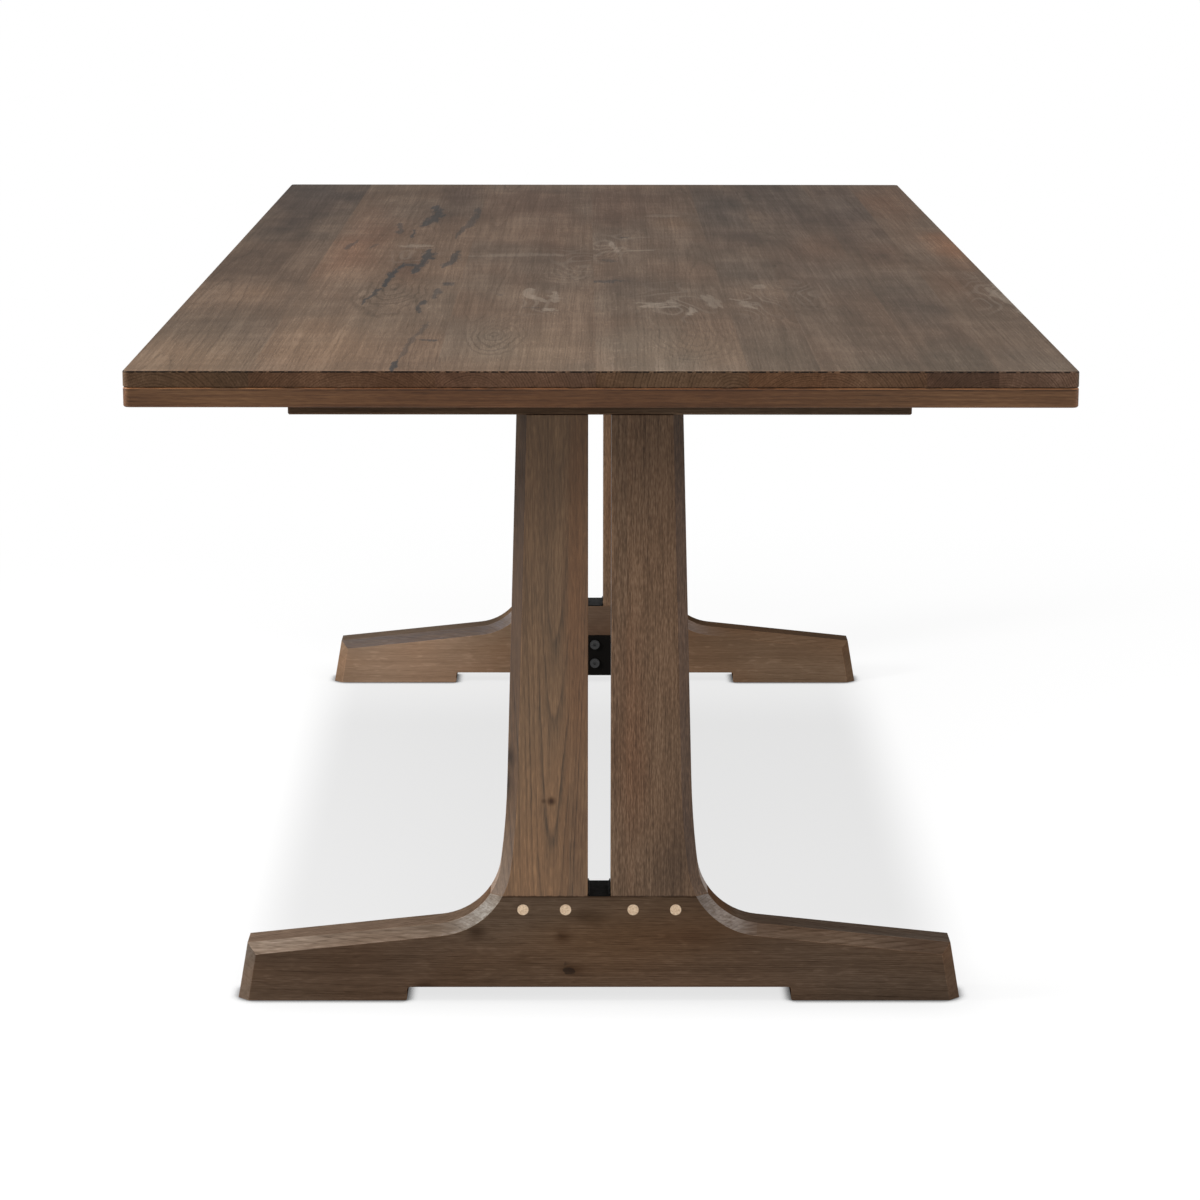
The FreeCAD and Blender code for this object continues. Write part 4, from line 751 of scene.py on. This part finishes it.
def metal(name, colour, roughness, metallic, speckle=0.1, gloss=0.5):
    """Painted or plated steel: cloudy, with a fine orange-peel bump."""
    material, tree, point = new_material(name)
    cloud = noise(tree, point, (160, 160, 160), 4.0, 0.6)
    dark = [part * (1 - speckle) for part in colour]
    shade = blend(tree, ramp(tree, cloud, 0.3, 0.7), (*dark, 1), (*colour, 1))
    bump = add(tree, "Bump", {"Strength": 0.12, "Distance": 0.0002,
                              "Height": noise(tree, point, (900, 900, 900), 2.0)})
    finish_material(tree, {"Base Color": shade, "Metallic": metallic, "Specular IOR Level": gloss,
                           "Roughness": ramp(tree, cloud, 0.3, 0.7, roughness - 0.05, roughness + 0.07),
                           "Normal": bump.outputs[0]})
    return material


def small_parts():
    """Everything that isn't oak takes its look from its slot in the record; the plates' bolts are black."""
    slots = {entry["node"]: entry["material_slot"] for entry in frame["record"]["subparts"]}
    looks = {
        "plywood": plain_wood("beech plywood", (0.42, 0.27, 0.15), (0.62, 0.44, 0.27), (300, 40, 300)),
        "pin_wood": plain_wood("pale pin", (0.55, 0.38, 0.24), (0.78, 0.60, 0.42), (500, 60, 500)),
        "black_steel": metal("black steel", (0.0035, 0.003, 0.0025), 0.60, 0.0, gloss=0.04),
        "zinc_steel": metal("zinc plated steel", (0.55, 0.55, 0.54), 0.33, 1.0, 0.2),
        "insert_brass": metal("brass", (0.72, 0.52, 0.22), 0.32, 1.0, 0.2),
    }
    bolt = metal("blackened bolt", (0.012, 0.012, 0.012), 0.38, 0.0, 0.3)
    for node, name in slots.items():
        if name in looks:
            cover(node, bolt if "plate_bolts" in node else looks[name])


# ---------------------------------------------------------------- stage, light and camera


FLOOR_GLOW = 0.90  # how bright the floor is by itself near the table
SHADOW_POOLS = [  # painted shadow pools on it: dark up to this far from the middle in y, gone at this far, how dark
    (0.45, 0.80, 0.070),
    (0.78, 0.93, 0.147),
]
SHADOW_POOL_SIDES = (0.47, 0.36)  # the painted shadow pools end between these distances from the middle, in x
CONTACT_SHADOW_REACH = 0.013  # how far from the pads a painted contact shadow, from ambient occlusion, darkens the floor
WHITE_FROM, WHITE_AT = 1.3, 2.3  # between these distances from the middle the floor turns plain white


def seen_directly(tree):
    """1 for rays from the camera, off gloss or through glass, else 0."""
    rays = add(tree, "LightPath").outputs
    return calc(tree, "MAXIMUM", rays["Is Camera Ray"],
                calc(tree, "MAXIMUM", rays["Is Glossy Ray"], rays["Is Transmission Ray"]))


def floor_glow_with_painted_shadow(tree, point):
    """How bright the floor is by itself, with a painted soft shadow pool under the table and painted
    contact shadows at the pads.
    """
    aside = add(tree, "SeparateXYZ", {0: vector(tree, "ABSOLUTE", point)}).outputs
    shadow_pool = total(tree, *(ramp(tree, aside["Y"], full, gone, dark, 0.0) for full, gone, dark in SHADOW_POOLS))
    shadow_pool = calc(tree, "MULTIPLY", shadow_pool, ramp(tree, aside["X"], *SHADOW_POOL_SIDES))
    hidden = add(tree, "AmbientOcclusion", {"Distance": CONTACT_SHADOW_REACH}, samples=8).outputs["AO"]
    contact_shadow = ramp(tree, hidden, 0.5, 1.0, 0.15, 1.0)
    return calc(tree, "MULTIPLY", contact_shadow, scaled(tree, shadow_pool, -1.0, FLOOR_GLOW))


def build_stage():
    """A white floor that shows white to the camera, with the table's soft shadow painted on it over a faint
    rendered one.
    """
    half, drop = 9.0, 0.0004  # the floor lies a hair under the pads
    mesh = bpy.data.meshes.new("floor")
    corners = [(-half, -half, 0), (half, -half, 0), (half, half, 0), (-half, half, 0)]
    mesh.from_pydata(corners, [], [(0, 1, 2, 3)])
    floor = bpy.data.objects.new("floor", mesh)
    floor.location.z = -drop
    bpy.context.scene.collection.objects.link(floor)
    material, tree, point = new_material("floor")
    shade = add(tree, "BsdfDiffuse", {"Color": (0.12, 0.12, 0.12, 1)})
    glow = add(tree, "Emission", {"Color": (1, 1, 1, 1), "Strength": floor_glow_with_painted_shadow(tree, point)})
    near = add(tree, "AddShader", {0: shade.outputs[0], 1: glow.outputs[0]})
    white = add(tree, "Emission", {"Color": (1, 1, 1, 1), "Strength": 1.0})
    away = ramp(tree, vector(tree, "LENGTH", point), WHITE_FROM, WHITE_AT)
    shown = add(tree, "MixShader", {0: away, 1: near.outputs[0], 2: white.outputs[0]})
    real = add(tree, "BsdfDiffuse", {"Color": (0.75, 0.75, 0.75, 1)})
    mixed = add(tree, "MixShader", {0: seen_directly(tree), 1: real.outputs[0], 2: shown.outputs[0]})
    add(tree, "OutputMaterial", {"Surface": mixed.outputs[0]})
    mesh.materials.append(material)


def build_world():
    """Even light; the camera and reflections see plain white."""
    world = bpy.data.worlds.new("studio")
    bpy.context.scene.world = world
    world.use_nodes = True
    tree = world.node_tree
    tree.nodes.clear()
    strength = ramp(tree, seen_directly(tree), 0.0, 1.0, 0.34, 1.0)
    light = add(tree, "Background", {"Color": (1, 1, 1, 1), "Strength": strength})
    add(tree, "OutputWorld", {"Surface": light.outputs[0]})


def add_lamp(name, place, target, size, power):
    """A soft rectangular lamp: places and size in metres, power in watts."""
    lamp = bpy.data.lights.new(name, "AREA")
    lamp.shape = "RECTANGLE"
    lamp.size, lamp.size_y = size
    lamp.energy = power
    holder = bpy.data.objects.new(name, lamp)
    holder.location = place
    holder.rotation_euler = (Vector(target) - Vector(place)).to_track_quat("-Z", "Y").to_euler()
    bpy.context.scene.collection.objects.link(holder)


def build_lamps():
    """Light from above, a stronger lamp on the left than on the right, and a fill in front."""
    add_lamp("overhead", (-0.3, -0.9, 3.2), (0, -0.2, 0.4), (2.2, 2.2), 50)
    add_lamp("left softbox", (-2.3, -0.85, 1.55), (0, -0.1, 0.3), (0.65, 0.65), 80)
    add_lamp("right softbox", (2.4, -0.95, 1.6), (0, -0.1, 0.3), (0.8, 0.8), 25)
    add_lamp("front fill", (0.2, -4.4, 2.7), (0, -0.8, 0.3), (2.4, 1.6), 40)


# The camera, fitted to the corners of the top and to the edges of the near trestle.
PITCH, YAW, ROLL = (math.radians(angle) for angle in (11.954, 0.285, -0.083))
CAMERA_PLACE = Vector((-0.0186, -4.6216, 1.2735))
LENS, SENSOR = 104.26, 36.0  # millimetres


def build_camera():
    """The photograph's view: a long lens, a little above the top."""
    ahead = Vector((math.sin(YAW) * math.cos(PITCH), math.cos(YAW) * math.cos(PITCH), -math.sin(PITCH)))
    level = Vector((math.cos(YAW), -math.sin(YAW), 0))
    above = level.cross(ahead)
    right = math.cos(ROLL) * level - math.sin(ROLL) * above
    up = math.sin(ROLL) * level + math.cos(ROLL) * above
    turn = Matrix((right, up, -ahead)).transposed()
    camera = bpy.data.cameras.new("camera")
    camera.sensor_width = SENSOR
    camera.lens = LENS
    holder = bpy.data.objects.new("camera", camera)
    holder.matrix_world = Matrix.Translation(CAMERA_PLACE) @ turn.to_4x4()
    bpy.context.scene.collection.objects.link(holder)
    bpy.context.scene.camera = holder


board_oak()
rail_oak()
for trestle in ("near", "far"):
    foot_oak(trestle)
    post_oak(trestle)
    bar_oak(trestle)
batten_oak()
small_parts()
build_stage()
build_world()
build_lamps()
build_camera()
bpy.context.scene.view_settings.view_transform = "Standard"
